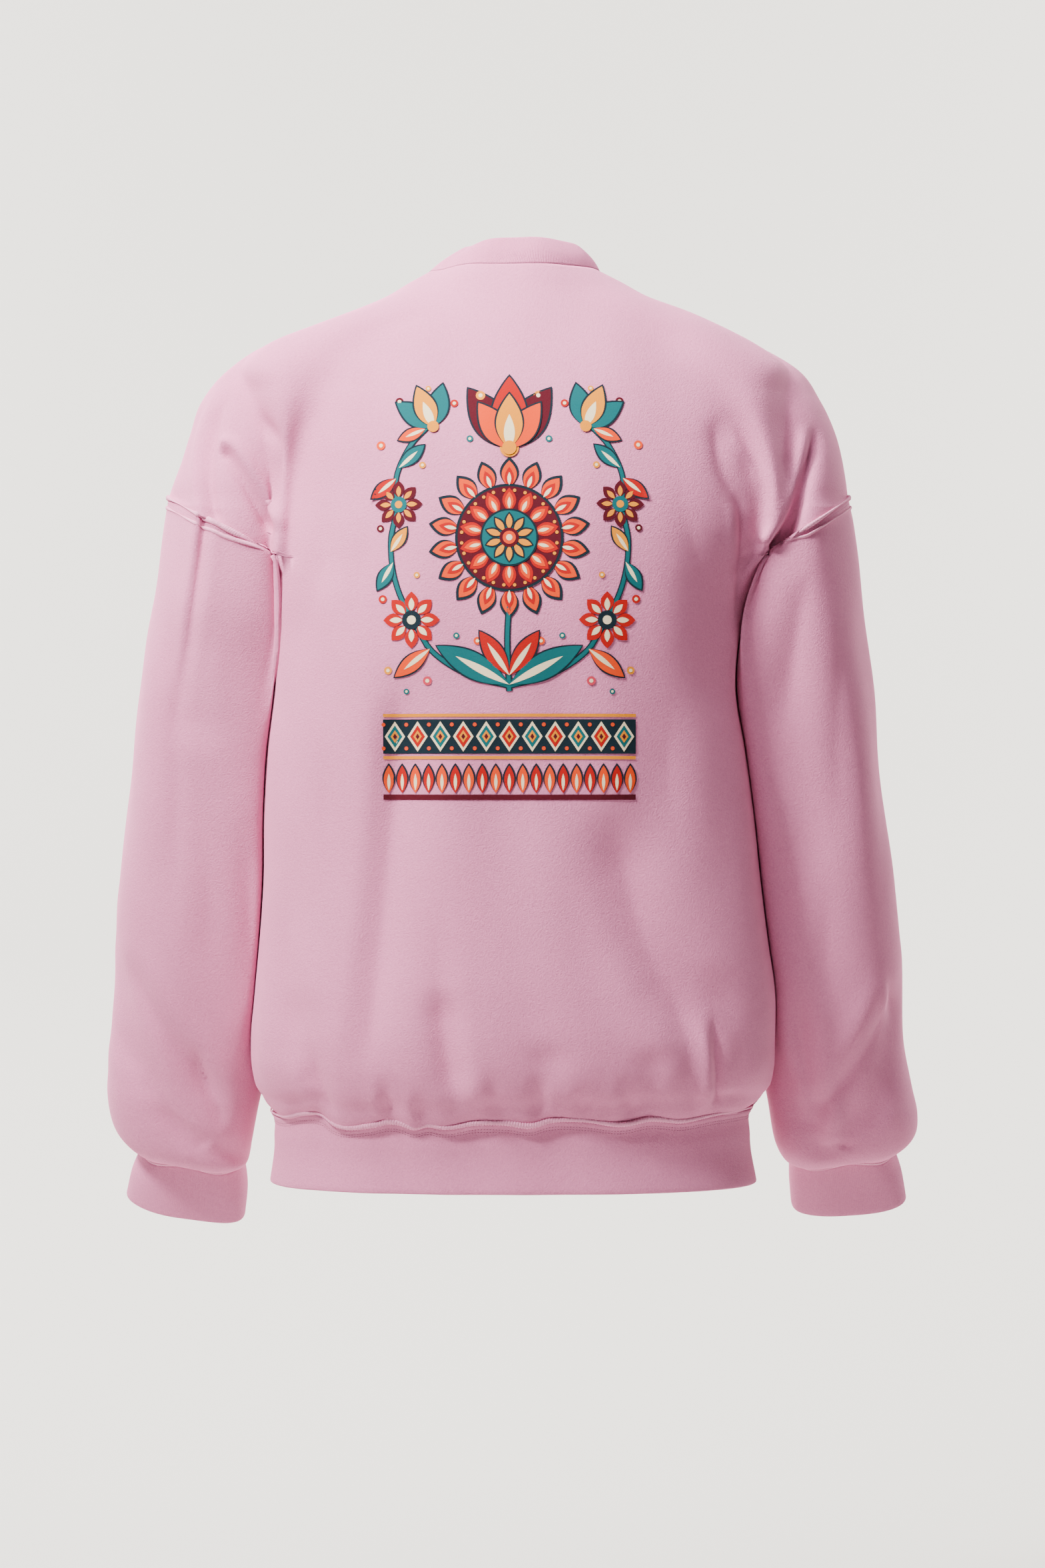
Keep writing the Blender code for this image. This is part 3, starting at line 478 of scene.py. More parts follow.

# %% [markdown]
# ## Fine folds
# A worn sweatshirt creases where it is bent or gathered: from the armpits, down the sides,
# above the tight waistband and above the cuffs. Each fold is drawn as a curve of a few
# places with a width, a depth and a lip, the small ridge that cloth throws up beside a
# trough. Both ends have their own fade, so that a gather can run hard into a seam.

# %% Folds drawn one by one
# Each row: width, depth, lip, fade at start, fade at end, then x and height of each place.
FOLDS = {
    "back": [
        (4.8, 5.2, 0.7, 0.35, 0.15, 226, -96, 240, -125, 245, -158, 242, -188, 236, -212),
        (4.6, 4.6, 0.4, 0.3, 0.4, 209, -114, 199, -128, 191.5, -140, 188.6, -152, 189, -170, 190,
         -194, 191, -214),
        (4.6, 6.0, -0.7, 0.12, 0.2, 238, -150, 230, -152, 220, -166, 209, -185, 200, -202, 194,
         -218),
        (9, 0.8, 0, 0.5, 0.5, 167, -116, 176, -146, 181, -190),
        (13, 2.0, 0, 0.4, 0.4, 139, -145, 150, -194, 154, -236, 166, -278, 174, -322),
        (13, 1.6, 0.2, 0.5, 0.5, 112, -196, 126, -250, 130, -330),
        (6.5, 3.0, -0.4, 0.3, 0.4, -146, -122, -149, -144, -154, -169, -165, -190, -170, -206),
        (4.6, 4.4, 0.3, 0.3, 0.4, -163, -180, -170, -202, -170, -232, -168, -268, -166, -300),
        (7, -3.2, 0, 0.4, 0.4, -152, -128, -165, -146, -177, -164, -182, -183, -182, -208),
        (4.8, 5.4, 0.7, 0.25, 0.03, -230, -124, -226, -149, -219, -175, -209, -205, -194, -228),
        (8, 1.8, 0, 0.4, 0.4, -204, -112, -212, -136, -214, -160, -208, -184),
        (13, 2, 0, 0.5, 0.5, -112, -150, -124, -200, -140, -260, -150, -320),
        (11, 3.4, 0.4, 0.3, 0.12, 94, -318, 99, -430, 120, -636),
        (9, 3.4, -0.5, 0.7, 0.14, 66, -490, 61, -590, 48, -664),
        (15, 4.4, 0.4, 0.35, 0.3, -66, -420, -98, -540, -152, -618),
        (5, 5.4, 0.7, 0.5, 0.14, -146, -578, -151, -622, -152, -667),
        (10, 2.6, 0.3, 0.4, 0.1, -112, -560, -128, -610, -128, -660),
        (7, 3.4, 0.6, 0.5, 0.14, 164, -604, 158, -636, 147, -664),
        (5, 2.6, 0.5, 0.6, 0.14, 108, -628, 104, -646, 101, -666),
        (5, 2.2, 0.5, 0.6, 0.14, 80, -636, 79, -652, 78, -667),
        (7, 2.2, 0.4, 0.6, 0.14, 24, -618, 22, -644, 21, -667),
        (6, 2.8, -0.5, 0.6, 0.14, -12, -626, -11, -648, -10, -667),
        (6, 2, 0.4, 0.6, 0.14, -44, -634, -45, -652, -44, -667),
        (6, 2.8, 0.5, 0.6, 0.14, -78, -626, -81, -648, -84, -667),
        (8, 3, 0.4, 0.6, 0.14, -168, -600, -168, -640, -164, -664),
        (12, 2.2, 0.3, 0.4, 0.3, 182, -470, 184, -540, 176, -640),
        (26, 1.4, 0, 0.5, 0.5, -10, -250, 4, -380, -22, -520),
        (16, 1.8, 0.2, 0.5, 0.5, -118, -330, -112, -400, -124, -470),
        (14, 1.8, -0.2, 0.5, 0.5, 150, -360, 152, -430, 146, -520),
    ],
    "front": [
        (6, 4.2, 0.5, 0.3, 0.1, 224, -100, 240, -150, 232, -210),
        (6, 4.6, -0.5, 0.3, 0.1, -222, -100, -226, -148, -210, -208),
        (7, 4.4, 0.4, 0.3, 0.15, 206, -116, 196, -160, 192, -222),
        (7, 4.2, 0.4, 0.3, 0.15, -196, -110, -194, -160, -192, -218),
        (10, 3.4, 0.4, 0.35, 0.45, 158, -170, 130, -222, 96, -276),
        (10, 3.4, -0.4, 0.35, 0.45, -156, -168, -128, -220, -84, -268),
        (9, 2.8, -0.3, 0.35, 0.5, 168, -212, 146, -252, 120, -330),
        (9, 2.8, 0.3, 0.35, 0.5, -166, -214, -142, -262, -112, -322),
        (12, 1.8, 0.3, 0.4, 0.5, 46, -96, 84, -128, 108, -176),
        (12, 1.8, 0.3, 0.4, 0.5, -48, -98, -82, -130, -100, -182),
        (12, 3.6, 0.4, 0.35, 0.14, 126, -340, 138, -470, 140, -650),
        (13, 4, -0.4, 0.35, 0.14, -82, -380, -108, -520, -132, -652),
        (10, 3, 0.4, 0.4, 0.14, 32, -480, 40, -560, 45, -660),
        (8, 3, 0.5, 0.5, 0.14, -34, -560, -36, -620, -32, -666),
        (8, 3, -0.5, 0.5, 0.14, 90, -590, 94, -630, 97, -666),
        (8, 3.4, 0.5, 0.5, 0.14, -158, -556, -162, -610, -156, -664),
        (8, 3.2, -0.4, 0.5, 0.14, 166, -570, 168, -620, 160, -664),
        (5, 2.4, 0.5, 0.6, 0.14, 68, -632, 69, -650, 70, -667),
        (6, 2.4, 0.4, 0.6, 0.14, 8, -622, 7, -646, 8, -667),
        (6, 2.6, 0.5, 0.6, 0.14, -62, -628, -64, -650, -66, -667),
        (6, 2.4, -0.5, 0.6, 0.14, -96, -616, -98, -644, -100, -666),
        (6, 2.2, 0.4, 0.6, 0.14, 122, -620, 122, -646, 121, -666),
        (26, 1.4, 0, 0.5, 0.5, -4, -260, -12, -360, 6, -480),
    ],
    "left_back": [
        (11, 2.6, 0.3, 0.35, 0.35, 275, -250, 271, -394, 276, -536),
        (10, 1.0, -0.3, 0.3, 0.4, 238, -250, 230, -312, 221, -378),
        (10, 1.8, 0.2, 0.4, 0.4, 304, -330, 311, -420, 312, -500),
        (9, 5.2, -0.3, 0.3, 0.2, 320, -536, 290, -596, 228, -676),
        (12, -2.4, 0, 0.3, 0.3, 326, -648, 262, -680, 226, -694),
        (5, 3.0, 0.3, 0.3, 0.2, 262, -612, 252, -650, 236, -684),
        (7, 2.6, 0.4, 0.5, 0.1, 300, -660, 276, -676, 252, -700),
        (9, 2.4, 0.3, 0.4, 0.4, 222, -420, 214, -500, 212, -580),
        (12, 1.8, 0.2, 0.5, 0.5, 252, -440, 246, -510, 250, -570),
        (8, 2.4, 0.4, 0.4, 0.5, 330, -590, 316, -622, 300, -640),
    ],
    "left_front": [
        (11, 2.6, 0.3, 0.35, 0.4, 262, -236, 270, -330, 282, -430),
        (9, 2.8, -0.3, 0.3, 0.4, 232, -262, 226, -330, 236, -410),
        (9, 4.2, 0.6, 0.3, 0.4, 316, -470, 290, -510, 246, -540),
        (9, 4, 0.5, 0.3, 0.4, 322, -510, 296, -556, 238, -590),
        (10, 4.6, -0.5, 0.3, 0.1, 328, -560, 300, -620, 250, -680),
        (7, 3.4, 0.5, 0.4, 0.1, 254, -610, 246, -650, 240, -694),
        (7, 3, -0.4, 0.5, 0.1, 300, -640, 290, -670, 276, -700),
    ],
    "right_back": [
        (10, 3, 0.4, 0.3, 0.4, -221, -236, -212, -300, -200, -380),
        (12, 2.2, -0.3, 0.4, 0.4, -252, -260, -246, -360, -250, -470),
        (10, 1.6, 0.2, 0.4, 0.4, -282, -330, -286, -420, -284, -500),
        (4, 2.6, 0.6, 0.4, 0.5, -290, -556, -297, -582, -298, -606),
        (10, 4.4, 0.5, 0.35, 0.1, -306, -560, -276, -618, -232, -676),
        (12, -2.2, 0, 0.3, 0.3, -316, -662, -274, -686, -238, -694),
        (8, 4, -0.5, 0.35, 0.1, -220, -560, -222, -620, -236, -690),
        (7, 2.6, 0.5, 0.5, 0.1, -268, -650, -262, -676, -256, -702),
        (9, 2.6, 0.3, 0.4, 0.4, -206, -440, -206, -500, -212, -560),
        (12, 2, 0.2, 0.5, 0.5, -244, -470, -238, -540, -246, -600),
    ],
    "right_front": [
        (11, 2.6, -0.3, 0.35, 0.4, -240, -236, -250, -330, -262, -430),
        (9, 2.6, 0.3, 0.3, 0.4, -206, -262, -200, -330, -210, -410),
        (9, 4.2, 0.6, 0.3, 0.4, -292, -470, -268, -508, -226, -536),
        (9, 3.8, -0.5, 0.3, 0.4, -298, -520, -270, -560, -222, -592),
        (10, 4.6, 0.5, 0.3, 0.1, -304, -566, -276, -622, -232, -680),
        (7, 3.4, 0.5, 0.4, 0.1, -236, -606, -232, -650, -234, -694),
        (7, 3, 0.4, 0.5, 0.1, -284, -640, -276, -670, -264, -700),
    ],
}
FOLD_STEPS = 5           # straight pieces between two places of a fold
FOLD_SHARPNESS = 1.4     # 2 is a soft round trough, 1 a pointed one
LIP_PLACE, LIP_WIDTH = 1.9, 1.0


def fold_path(places):
    part = np.linspace(0, len(places) - 1, FOLD_STEPS * (len(places) - 1) + 1)
    return np.stack([smooth_read(range(len(places)), places[:, axis], part)
                     for axis in (0, 1)], axis=-1)


def beside_path(path, spots):
    """For each spot: how far beside the path it lies, left or right, and how far along."""
    nearest = np.full(len(spots), np.inf)
    across, along = np.zeros(len(spots)), np.zeros(len(spots))
    for step in range(len(path) - 1):
        edge = path[step + 1] - path[step]
        part = np.clip((spots - path[step]) @ edge / (edge @ edge), 0, 1)
        off = spots - path[step] - part[:, None] * edge
        gap = np.hypot(off[:, 0], off[:, 1])
        closer = gap < nearest
        nearest = np.where(closer, gap, nearest)
        turn = np.sign(edge[0] * off[:, 1] - edge[1] * off[:, 0])
        across = np.where(closer, turn * gap, across)
        along = np.where(closer, (step + part) / (len(path) - 1), along)
    return across, along


def fold_relief(folds, x, z):
    """How far out of the cloth each spot is pushed by the listed folds."""
    spots, total = np.stack([x, z], axis=-1), np.zeros(len(x))
    for width, depth, lip, fade0, fade1, *places in folds:
        across, along = beside_path(fold_path(np.reshape(places, (-1, 2))), spots)
        part = across / width
        shape = -np.exp(-np.abs(part) ** FOLD_SHARPNESS)
        if lip:
            shape = shape + abs(lip) * np.exp(-((part - math.copysign(LIP_PLACE, lip))
                                                / LIP_WIDTH) ** 2)
        total += depth * shape * fade(along / fade0) * fade((1 - along) / fade1)
    return total


print("folds drawn by hand", {name: len(rows) for name, rows in FOLDS.items()})

# %% [markdown]
# ## Small unevenness
# No cloth is as even as a formula. A few long, shallow waves of different lengths are added
# everywhere. They depend only on the place, so that they run on across the seams.

# %% Shallow waves
WAVES = np.random.default_rng(11).uniform(size=(9, 4))
WAVE_HEIGHT = 0.34       # mm, each
SHORTEST_WAVE, LONGEST_WAVE, WAVE_TILT = 46, 150, 0.7


def cloth_waves(points):
    total = np.zeros(len(points))
    for long, turn, tilt, phase in WAVES:
        length, heading = between(SHORTEST_WAVE, LONGEST_WAVE, long), math.tau * turn
        direction = np.array([math.cos(heading), math.sin(heading),
                              between(-WAVE_TILT, WAVE_TILT, tilt)])
        total += WAVE_HEIGHT * np.sin(points @ direction * math.tau / length + math.tau * phase)
    return total


print("waves", len(WAVES), "up to", round(WAVE_HEIGHT * len(WAVES), 2), "mm together")

# %% [markdown]
# ## The waistband seam waves up and down
# The waistband is shorter than the panels, so the seam between them is pulled into small
# waves. A short table gives its height along the back and along the front.

# %% Seam height along the hem
# Columns: x, rise above the seam's own height.
HEM_WAVE = {
    "back": [(-197, 6), (-170, 9.2), (-149, 8.2), (-122, 4), (-96, 6.7), (-78, 2.1), (-44, 6.7),
             (-18, 5.6), (-8, 1.5), (12, 4), (34, 4.1), (63, -0.5), (72, 2.1), (84, -1), (92, 3.1),
             (103, 4.1), (118, -0.5), (147, 1.5), (153, 7.2), (170, 8.2), (185, 2.6), (201, 4)],
    "front": [(-197, 6), (-176, 2), (-152, 5), (-128, 0), (-104, 4), (-84, 1), (-60, 6), (-34, 1),
              (-10, 4), (8, 0), (28, 5), (45, -1), (66, 4), (84, 1), (100, 5), (122, 0), (142, 4),
              (160, 1), (182, 5), (201, 4)],
}
WAVE_FADE_UP, WAVE_FADE_DOWN, HEM_WAVE_SHARE = 30.0, 26.0, 0.8
SEAM_DIP, DIP_PLACE, DIP_WIDTH = 1.2, 13.0, 5.0    # cloth sinks a little above the seam
SEAM_RISE, SEAM_RISE_WIDTH = 2.7, 7.0              # and stands out at the seam itself


def hem_rise(panel, x, z):
    """The seam's rise, fading above and below it."""
    xs, rises = zip(*HEM_WAVE[panel])
    off = z - HEM_SEAM
    reach = np.where(off > 0, WAVE_FADE_UP, WAVE_FADE_DOWN)
    return HEM_WAVE_SHARE * smooth_read(xs, rises, x) * np.exp(-(off / reach) ** 2)


print("seam rise at the centre back", round(float(hem_rise("back", 0.0, HEM_SEAM)), 1), "mm")

# %% [markdown]
# ## From grid to cloth
# A grid becomes a mesh face by face. The outer face is made first and pushed in and out
# along its own normals, and a Solidify modifier then gives the cloth its thickness inwards.

# %% Helpers for meshes of cloth
def unit(vectors):
    return vectors / np.maximum(np.linalg.norm(vectors, axis=-1, keepdims=True), 1e-9)


def grid_faces(used, closed):
    """Quads of a grid, leaving out its empty places."""
    rows, columns = used.shape
    faces = []
    for row in range(rows - 1):
        for column in range(columns if closed else columns - 1):
            beside = (column + 1) % columns
            if used[row, column] and used[row, beside] and used[row + 1, column]:
                faces.append((row * columns + column, row * columns + beside,
                              (row + 1) * columns + beside, (row + 1) * columns + column))
    return np.array(faces)


def face_areas(points, faces):
    """A vector square to each face, twice as long as the face is large."""
    corners = points[faces]
    return np.cross(corners[:, 2] - corners[:, 0], corners[:, 3] - corners[:, 1])


def point_normals(points, faces):
    areas, normals = face_areas(points, faces), np.zeros_like(points)
    for corner in range(4):
        np.add.at(normals, faces[:, corner], areas)
    return unit(normals)


def add_mesh(name, points, faces):
    mesh = bpy.data.meshes.new(name)
    mesh.from_pydata((points * MM).tolist(), [],
                     faces if isinstance(faces, list) else faces.tolist())
    mesh.shade_smooth()
    piece = bpy.data.objects.new(name, mesh)
    bpy.context.collection.objects.link(piece)
    return piece


def add_closed_mesh(name, grid, inside=0.0):
    """A grid closed both ways, with its faces turned away from the points inside it."""
    points = grid.reshape(-1, 3)
    looped = np.ones((len(grid) + 1, grid.shape[1]), bool)
    faces = grid_faces(looped, True) % len(points)
    away = (points - inside)[faces].mean(axis=1)
    if np.sum(face_areas(points, faces) * away) < 0:
        faces = faces[:, ::-1]
    print(name, len(faces), "faces")
    return add_mesh(name, points, faces)


def declare(piece, node, replaces=True):
    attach(piece, "root")
    if replaces:
        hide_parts(node)


print("helpers ready")

# %% [markdown]
# ## Back and front panels
# Each panel is one sheet of brushed fleece. Folds push it along its normals, less where it
# faces a sleeve, and the hem wave lifts its lower rows.

# %% The two panels
# How squarely cloth must face back or front before its folds start to show and show fully.
FACING_START, FACING_FULL = 0.12, 0.5
SIDEWAYS_WAVES = 0.25    # waves show this much earlier than folds


def panel_cloth(panel):
    """A panel's points, pushed in and out along their normals, and its faces."""
    grid = panels[panel]
    faces = grid_faces(~np.isnan(grid[..., 0]), False)[:, ::FACES[panel]]
    points = np.nan_to_num(grid.reshape(-1, 3))
    normals = point_normals(points, faces)
    facing = fade((np.abs(normals[:, 1]) - FACING_START) / (FACING_FULL - FACING_START))
    push = fold_relief(FOLDS[panel], points[:, 0], points[:, 2]) * facing
    push += cloth_waves(points) * fade(facing + SIDEWAYS_WAVES)
    above = points[:, 2] - HEM_SEAM
    push -= SEAM_DIP * np.exp(-((above - DIP_PLACE) / DIP_WIDTH) ** 2)
    push += SEAM_RISE * np.exp(-(above / SEAM_RISE_WIDTH) ** 2) * facing
    points = points + normals * push[:, None]
    points[:, 2] += hem_rise(panel, points[:, 0], points[:, 2])
    return points, faces


cloth = {}
for panel in panels:
    points, faces = panel_cloth(panel)
    piece = add_mesh(panel + "_cloth", points, faces)
    wall = piece.modifiers.new("wall", "SOLIDIFY")
    wall.thickness, wall.offset = FLEECE_WALL * MM, -1
    declare(piece, panel)
    cloth[panel] = piece
    panels[panel] = points.reshape(panels[panel].shape)

# %% [markdown]
# ## Tubes: sleeves, cuffs, collar and waistband
# Each of these is a ring of cloth. A tube's grid is closed round, and its wall is made as
# one loop: down the outside, round the lower edge and up the inside. A doubled rib has a
# soft round fold at its free edge.

# %% A tube with a wall
EDGE_STEPS = 4           # faces round a folded edge
POINTS_PER_RIB = 4
RIB_FADE, RIB_EDGE = 0.12, 0.8      # shares of the way from the seam to the folded edge


def soften(ring, steps):
    """Averages a closed line with its neighbours on both sides."""
    return np.mean([np.roll(ring, step, axis=0) for step in range(-steps, steps + 1)], axis=0)


def closed_normals(grid):
    """Outward normals of a ring grid, rows down and columns round."""
    round_step = np.roll(grid, -1, axis=1) - np.roll(grid, 1, axis=1)
    down_step = np.gradient(grid, axis=0)
    normals = unit(np.cross(round_step, down_step))
    centre = grid.mean(axis=1, keepdims=True)
    return normals * np.sign(np.sum(normals * (grid - centre)))


def tube_rows(grid, wall, folded_edge):
    """Rows of a tube's whole wall, outside, edge, inside, and the way each row faces."""
    out = closed_normals(grid)
    rows, facing = list(grid), list(out)
    if folded_edge:
        down = unit(grid[-1] - grid[-2])
        for step in range(1, EDGE_STEPS):
            angle = math.pi * step / EDGE_STEPS
            turned = out[-1] * math.cos(angle) + down * math.sin(angle)
            rows.append(grid[-1] + (turned - out[-1]) * wall / 2)
            facing.append(turned)
    return np.array(rows + list((grid - out * wall)[::-1])), np.array(facing + list(-out[::-1]))


def rib_wave(rows, columns, height, edge_height):
    """Ribs along a folded wall: none at its seam, and lower round its folded edge."""
    wave = np.cos(np.arange(columns) / POINTS_PER_RIB * math.tau)
    place = 1 - np.abs(np.linspace(-1, 1, rows))
    strength = height * fade(place / RIB_FADE)
    strength = between(strength, edge_height, fade((place - RIB_EDGE) / RIB_FADE))
    return strength[:, None] * wave


def tube_piece(name, grid, wall, folded_edge, rib=(0.0, 0.0)):
    """A closed wall: the rows meet again where the inside reaches the first row."""
    rows, facing = tube_rows(grid, wall, folded_edge)
    if any(rib):
        rows = rows + facing * rib_wave(*rows.shape[:2], *rib)[..., None]
    return add_closed_mesh(name, rows)


print("edge steps", EDGE_STEPS)

# %% [markdown]
# ## Sleeves
# A sleeve starts at the armhole's own curve, hangs beside the body without touching it and
# swells above the tight cuff, where the forearm leans forward.

# %% Sleeve rings
SLEEVE_COLUMNS_ROUND = 136
RINGS_PER_ROW = 12
FIRST_CLEARANCE, CLEARANCE_GROWTH = 0.3, 4      # shares of the clearance, at first and per row


def armhole_half(grid, side):
    grid = grid if side == "left" else grid[:, ::-1]
    last = SHOULDER_ROWS + ARM_ROWS
    over_arm = grid[SHOULDER_ROWS:last + 1, -1 - UNDERARM_COLUMNS]
    return np.concatenate([over_arm, grid[last, -UNDERARM_COLUMNS:]])


def armhole_ring(side):
    """The armhole seam: outer end, back of the arm, underarm, front of the arm."""
    ring = np.concatenate([armhole_half(panels["back"], side),
                           armhole_half(panels["front"], side)[::-1][1:]])
    return read_along(ring, np.arange(SLEEVE_COLUMNS_ROUND) / SLEEVE_COLUMNS_ROUND)


def sleeve_section(rows, side, place, shares):
    sign = SIDES[side]
    outer, inner = (np.array([sign * at_row(rows, name, place),
                              at_row(rows, name + "_height", place)]) for name in ("out", "in"))
    depth, lean = at_row(rows, "depth", place), math.radians(at_row(rows, "lean", place))
    angles = np.linspace(0, math.tau, ROW_SAMPLES)
    cosine, sine = np.cos(angles), np.sin(angles)
    power = 2 / np.where(cosine < 0, SLEEVE_INNER_SQUARE, SLEEVE_SQUARE)
    across = np.sign(cosine) * np.abs(cosine) ** power
    deep = np.sign(sine) * np.abs(sine) ** power
    middle, half = (outer + inner) / 2, (outer - inner) / 2
    x = middle[0] + half[0] * across
    z = middle[1] + half[1] * across - depth * math.sin(lean) * deep
    y = at_row(rows, "middle", place) + depth * math.cos(lean) * deep
    return read_along(np.stack([x, y, z], axis=-1), shares)


# The sleeve's inner wall is drawn to the body, so that the groove at the back stays shallow.
GROOVE_SHARE, GROOVE_NEAR, GROOVE_REACH, GROOVE_OVERLAP = 0.25, 2.0, 42.0, 7.0
GROOVE_END, GROOVE_FADE = -645.0, 70.0


def keep_clear_of_body(ring, side, gap):
    sign = SIDES[side]
    from_middle = ring[:, 1] - at_height(TORSO, "middle", ring[:, 2])
    reach = np.where(from_middle > 0, *(torso_reach(panel, from_middle, ring[:, 2], side)
                                        for panel in FACES))
    own = sign * ring[:, 0]
    beside = np.maximum(reach, at_height(TORSO, side, ring[:, 2]) - GROOVE_OVERLAP)
    share = between(GROOVE_SHARE, 1.0, fade((own - beside - GROOVE_NEAR) / GROOVE_REACH))
    share = between(1.0, share, fade((ring[:, 2] - GROOVE_END) / GROOVE_FADE))
    toward = (own < own.mean()) & (from_middle > 0) & (own > beside)
    drawn = np.where(toward, beside + (own - beside) * share, own)
    kept = ring.copy()
    kept[:, 0] = sign * np.maximum(drawn, reach + gap)
    return kept


def sleeve_grid(side):
    rows, armhole = SLEEVE[side], armhole_ring(side)
    shares = np.arange(SLEEVE_COLUMNS_ROUND) / SLEEVE_COLUMNS_ROUND
    first = sleeve_section(rows, side, 0, shares)
    rings = [armhole]
    for step in range(1, (len(rows) - 1) * RINGS_PER_ROW + 1):
        place = step / RINGS_PER_ROW
        section = sleeve_section(rows, side, place, shares)
        girth = (at_row(rows, "out", place) - at_row(rows, "in", place)
                 + 2 * at_row(rows, "depth", place)) / 4
        outward = unit(section - section.mean(axis=0))
        depth = sleeve_fold_depth(BROAD_SLEEVE_FOLDS[side], shares, place, girth)
        left_over = (armhole - first) * (1 - fade(place / ARMHOLE_REACH))
        ring = section - outward * depth[:, None] + left_over
        gap = SLEEVE_CLEARANCE * min(1, FIRST_CLEARANCE + CLEARANCE_GROWTH * place)
        rings.append(keep_clear_of_body(ring, side, gap))
    return np.array(rings)


# %% Sleeve cloth
CUFF_WAVE = [(0.0, 1), (0.1, -3), (0.22, 2.5), (0.34, -2), (0.42, 1.5), (0.55, -2), (0.68, 2),
             (0.8, -3), (0.9, 2), (1.0, 1)]     # columns: share of the way round, rise
CUFF_WAVE_RINGS, CUFF_WAVE_SOFT = 7, 4
SLEEVE_FACING = 0.9     # folds fade where the sleeve faces the body more than this
SEAM_FADE_RINGS = 3
TURN_SHARPNESS = 2      # how quickly the back's folds give way to the front's


def sleeve_cloth(side):
    grid = sleeve_grid(side)
    normals = closed_normals(grid)
    points, out = grid.reshape(-1, 3), normals.reshape(-1, 3)
    behind = fade(out[:, 1] * TURN_SHARPNESS + 0.5)
    push = fold_relief(FOLDS[side + "_back"], points[:, 0], points[:, 2]) * behind
    push += fold_relief(FOLDS[side + "_front"], points[:, 0], points[:, 2]) * (1 - behind)
    push += cloth_waves(points)
    toward_body = np.clip(-out[:, 0] * SIDES[side], 0, 1)
    push *= fade((1 - toward_body) / SLEEVE_FACING)
    ends = fade(np.arange(len(grid)) / SEAM_FADE_RINGS)
    push *= np.repeat(ends, grid.shape[1])
    moved = (points + out * push[:, None]).reshape(grid.shape)
    from_end = np.arange(len(grid))[::-1] / CUFF_WAVE_RINGS
    rise = np.interp(np.arange(grid.shape[1]) / grid.shape[1], *zip(*CUFF_WAVE))
    moved[..., 2] += np.exp(-from_end ** 2)[:, None] * soften(rise, CUFF_WAVE_SOFT)
    return moved


sleeves = {}
for side in SIDES:
    sleeves[side] = sleeve_cloth(side)
    name = "sleeve_" + side
    cloth[name] = tube_piece(name + "_cloth", sleeves[side], FLEECE_WALL, False)
    declare(cloth[name], name)

# %% [markdown]
# ## Cuffs, collar and waistband
# These are doubled rib knit. The collar's ribs are fine and stand out clearly, so they are
# in the shape itself: every fourth column of its grid is one rib. On the cuffs they are
# fainter. The waistband is stretched so flat that its ribs don't show, and it has none.

# %% Rib pieces
CUFF_ROWS, COLLAR_ROWS, BAND_ROWS = 14, 12, 16
COLLAR_RIBS, CUFF_RIBS, BAND_COLUMNS = 376, 168, 420
RIB_HEIGHTS = {"neck_rib": (0.22, 0.04), "waistband": (0.0, 0.0),
               "cuff_left": (0.10, 0.06), "cuff_right": (0.10, 0.06)}
BAND_RISE, BAND_RISE_ROWS = 3.0, 5.0      # how far the seam's layers lift the waistband
CUFF_WAVES, BAND_WAVES = 0.6, 0.7         # shares of the shallow waves that the ribs show


def resample_ring(ring, count):
    return read_along(np.vstack([ring, ring[:1]]), np.arange(count) / count)


def cuff_cloth(side):
    columns = CUFF_RIBS * POINTS_PER_RIB
    shares = np.arange(columns) / columns
    seam = resample_ring(sleeves[side][-1], columns)
    start = sleeve_section(CUFF[side], side, 0, shares)
    rings = []
    for step in range(CUFF_ROWS + 1):
        part = step / CUFF_ROWS
        ring = sleeve_section(CUFF[side], side, (len(CUFF[side]) - 1) * part, shares)
        rings.append(ring + (seam - start) * (1 - part))
    grid = np.array(rings)
    waves = cloth_waves(grid.reshape(-1, 3)).reshape(grid.shape[:2])
    return grid + closed_normals(grid) * waves[..., None] * CUFF_WAVES


def neck_ring():
    back, front = (panels[panel][0, UNDERARM_COLUMNS:-UNDERARM_COLUMNS] for panel in FACES)
    return np.concatenate([back, front[::-1][1:-1]])


def collar_cloth():
    ring = resample_ring(neck_ring(), COLLAR_RIBS * POINTS_PER_RIB)
    centre = (ring.max(axis=0) + ring.min(axis=0)) / 2
    half = (ring.max(axis=0) - ring.min(axis=0)) / 2
    across = (ring[:, 0] - centre[0]) / half[0]
    depth = (ring[:, 1] - centre[1]) / half[1]
    rows = []
    for step in range(COLLAR_ROWS + 1):
        part = step / COLLAR_ROWS
        swell = COLLAR_ROUNDNESS * math.sin(math.pi * part)
        row = ring.copy()
        row[:, 0] -= across * (COLLAR_LEAN_SIDE * part - swell) + COLLAR_SHIFT * part
        row[:, 1] -= depth * (COLLAR_LEAN_BACK * part - swell)
        row[:, 2] += (COLLAR_RISE - COLLAR_SAG * across ** 2) * part
        rows.append(row)
    return np.array(rows)


def waistband_cloth():
    rows = []
    for step in range(BAND_ROWS + 1):
        halves = {panel: lower_row(panel, between(HEM_SEAM, HEM_EDGE, step / BAND_ROWS))
                  for panel in FACES}
        for panel, half in halves.items():
            half[:, 2] += hem_rise(panel, half[:, 0], half[:, 2])
        ring = np.concatenate([halves["back"], halves["front"][::-1][1:-1]])
        rows.append(resample_ring(ring, BAND_COLUMNS))
    grid = np.array(rows)
    row = np.arange(BAND_ROWS + 1)[:, None]
    waves = cloth_waves(grid.reshape(-1, 3)).reshape(grid.shape[:2])
    push = waves * BAND_WAVES * fade(row / 2)
    push = push + BAND_RISE * np.exp(-(row / BAND_RISE_ROWS) ** 2)
    return grid + closed_normals(grid) * push[..., None]


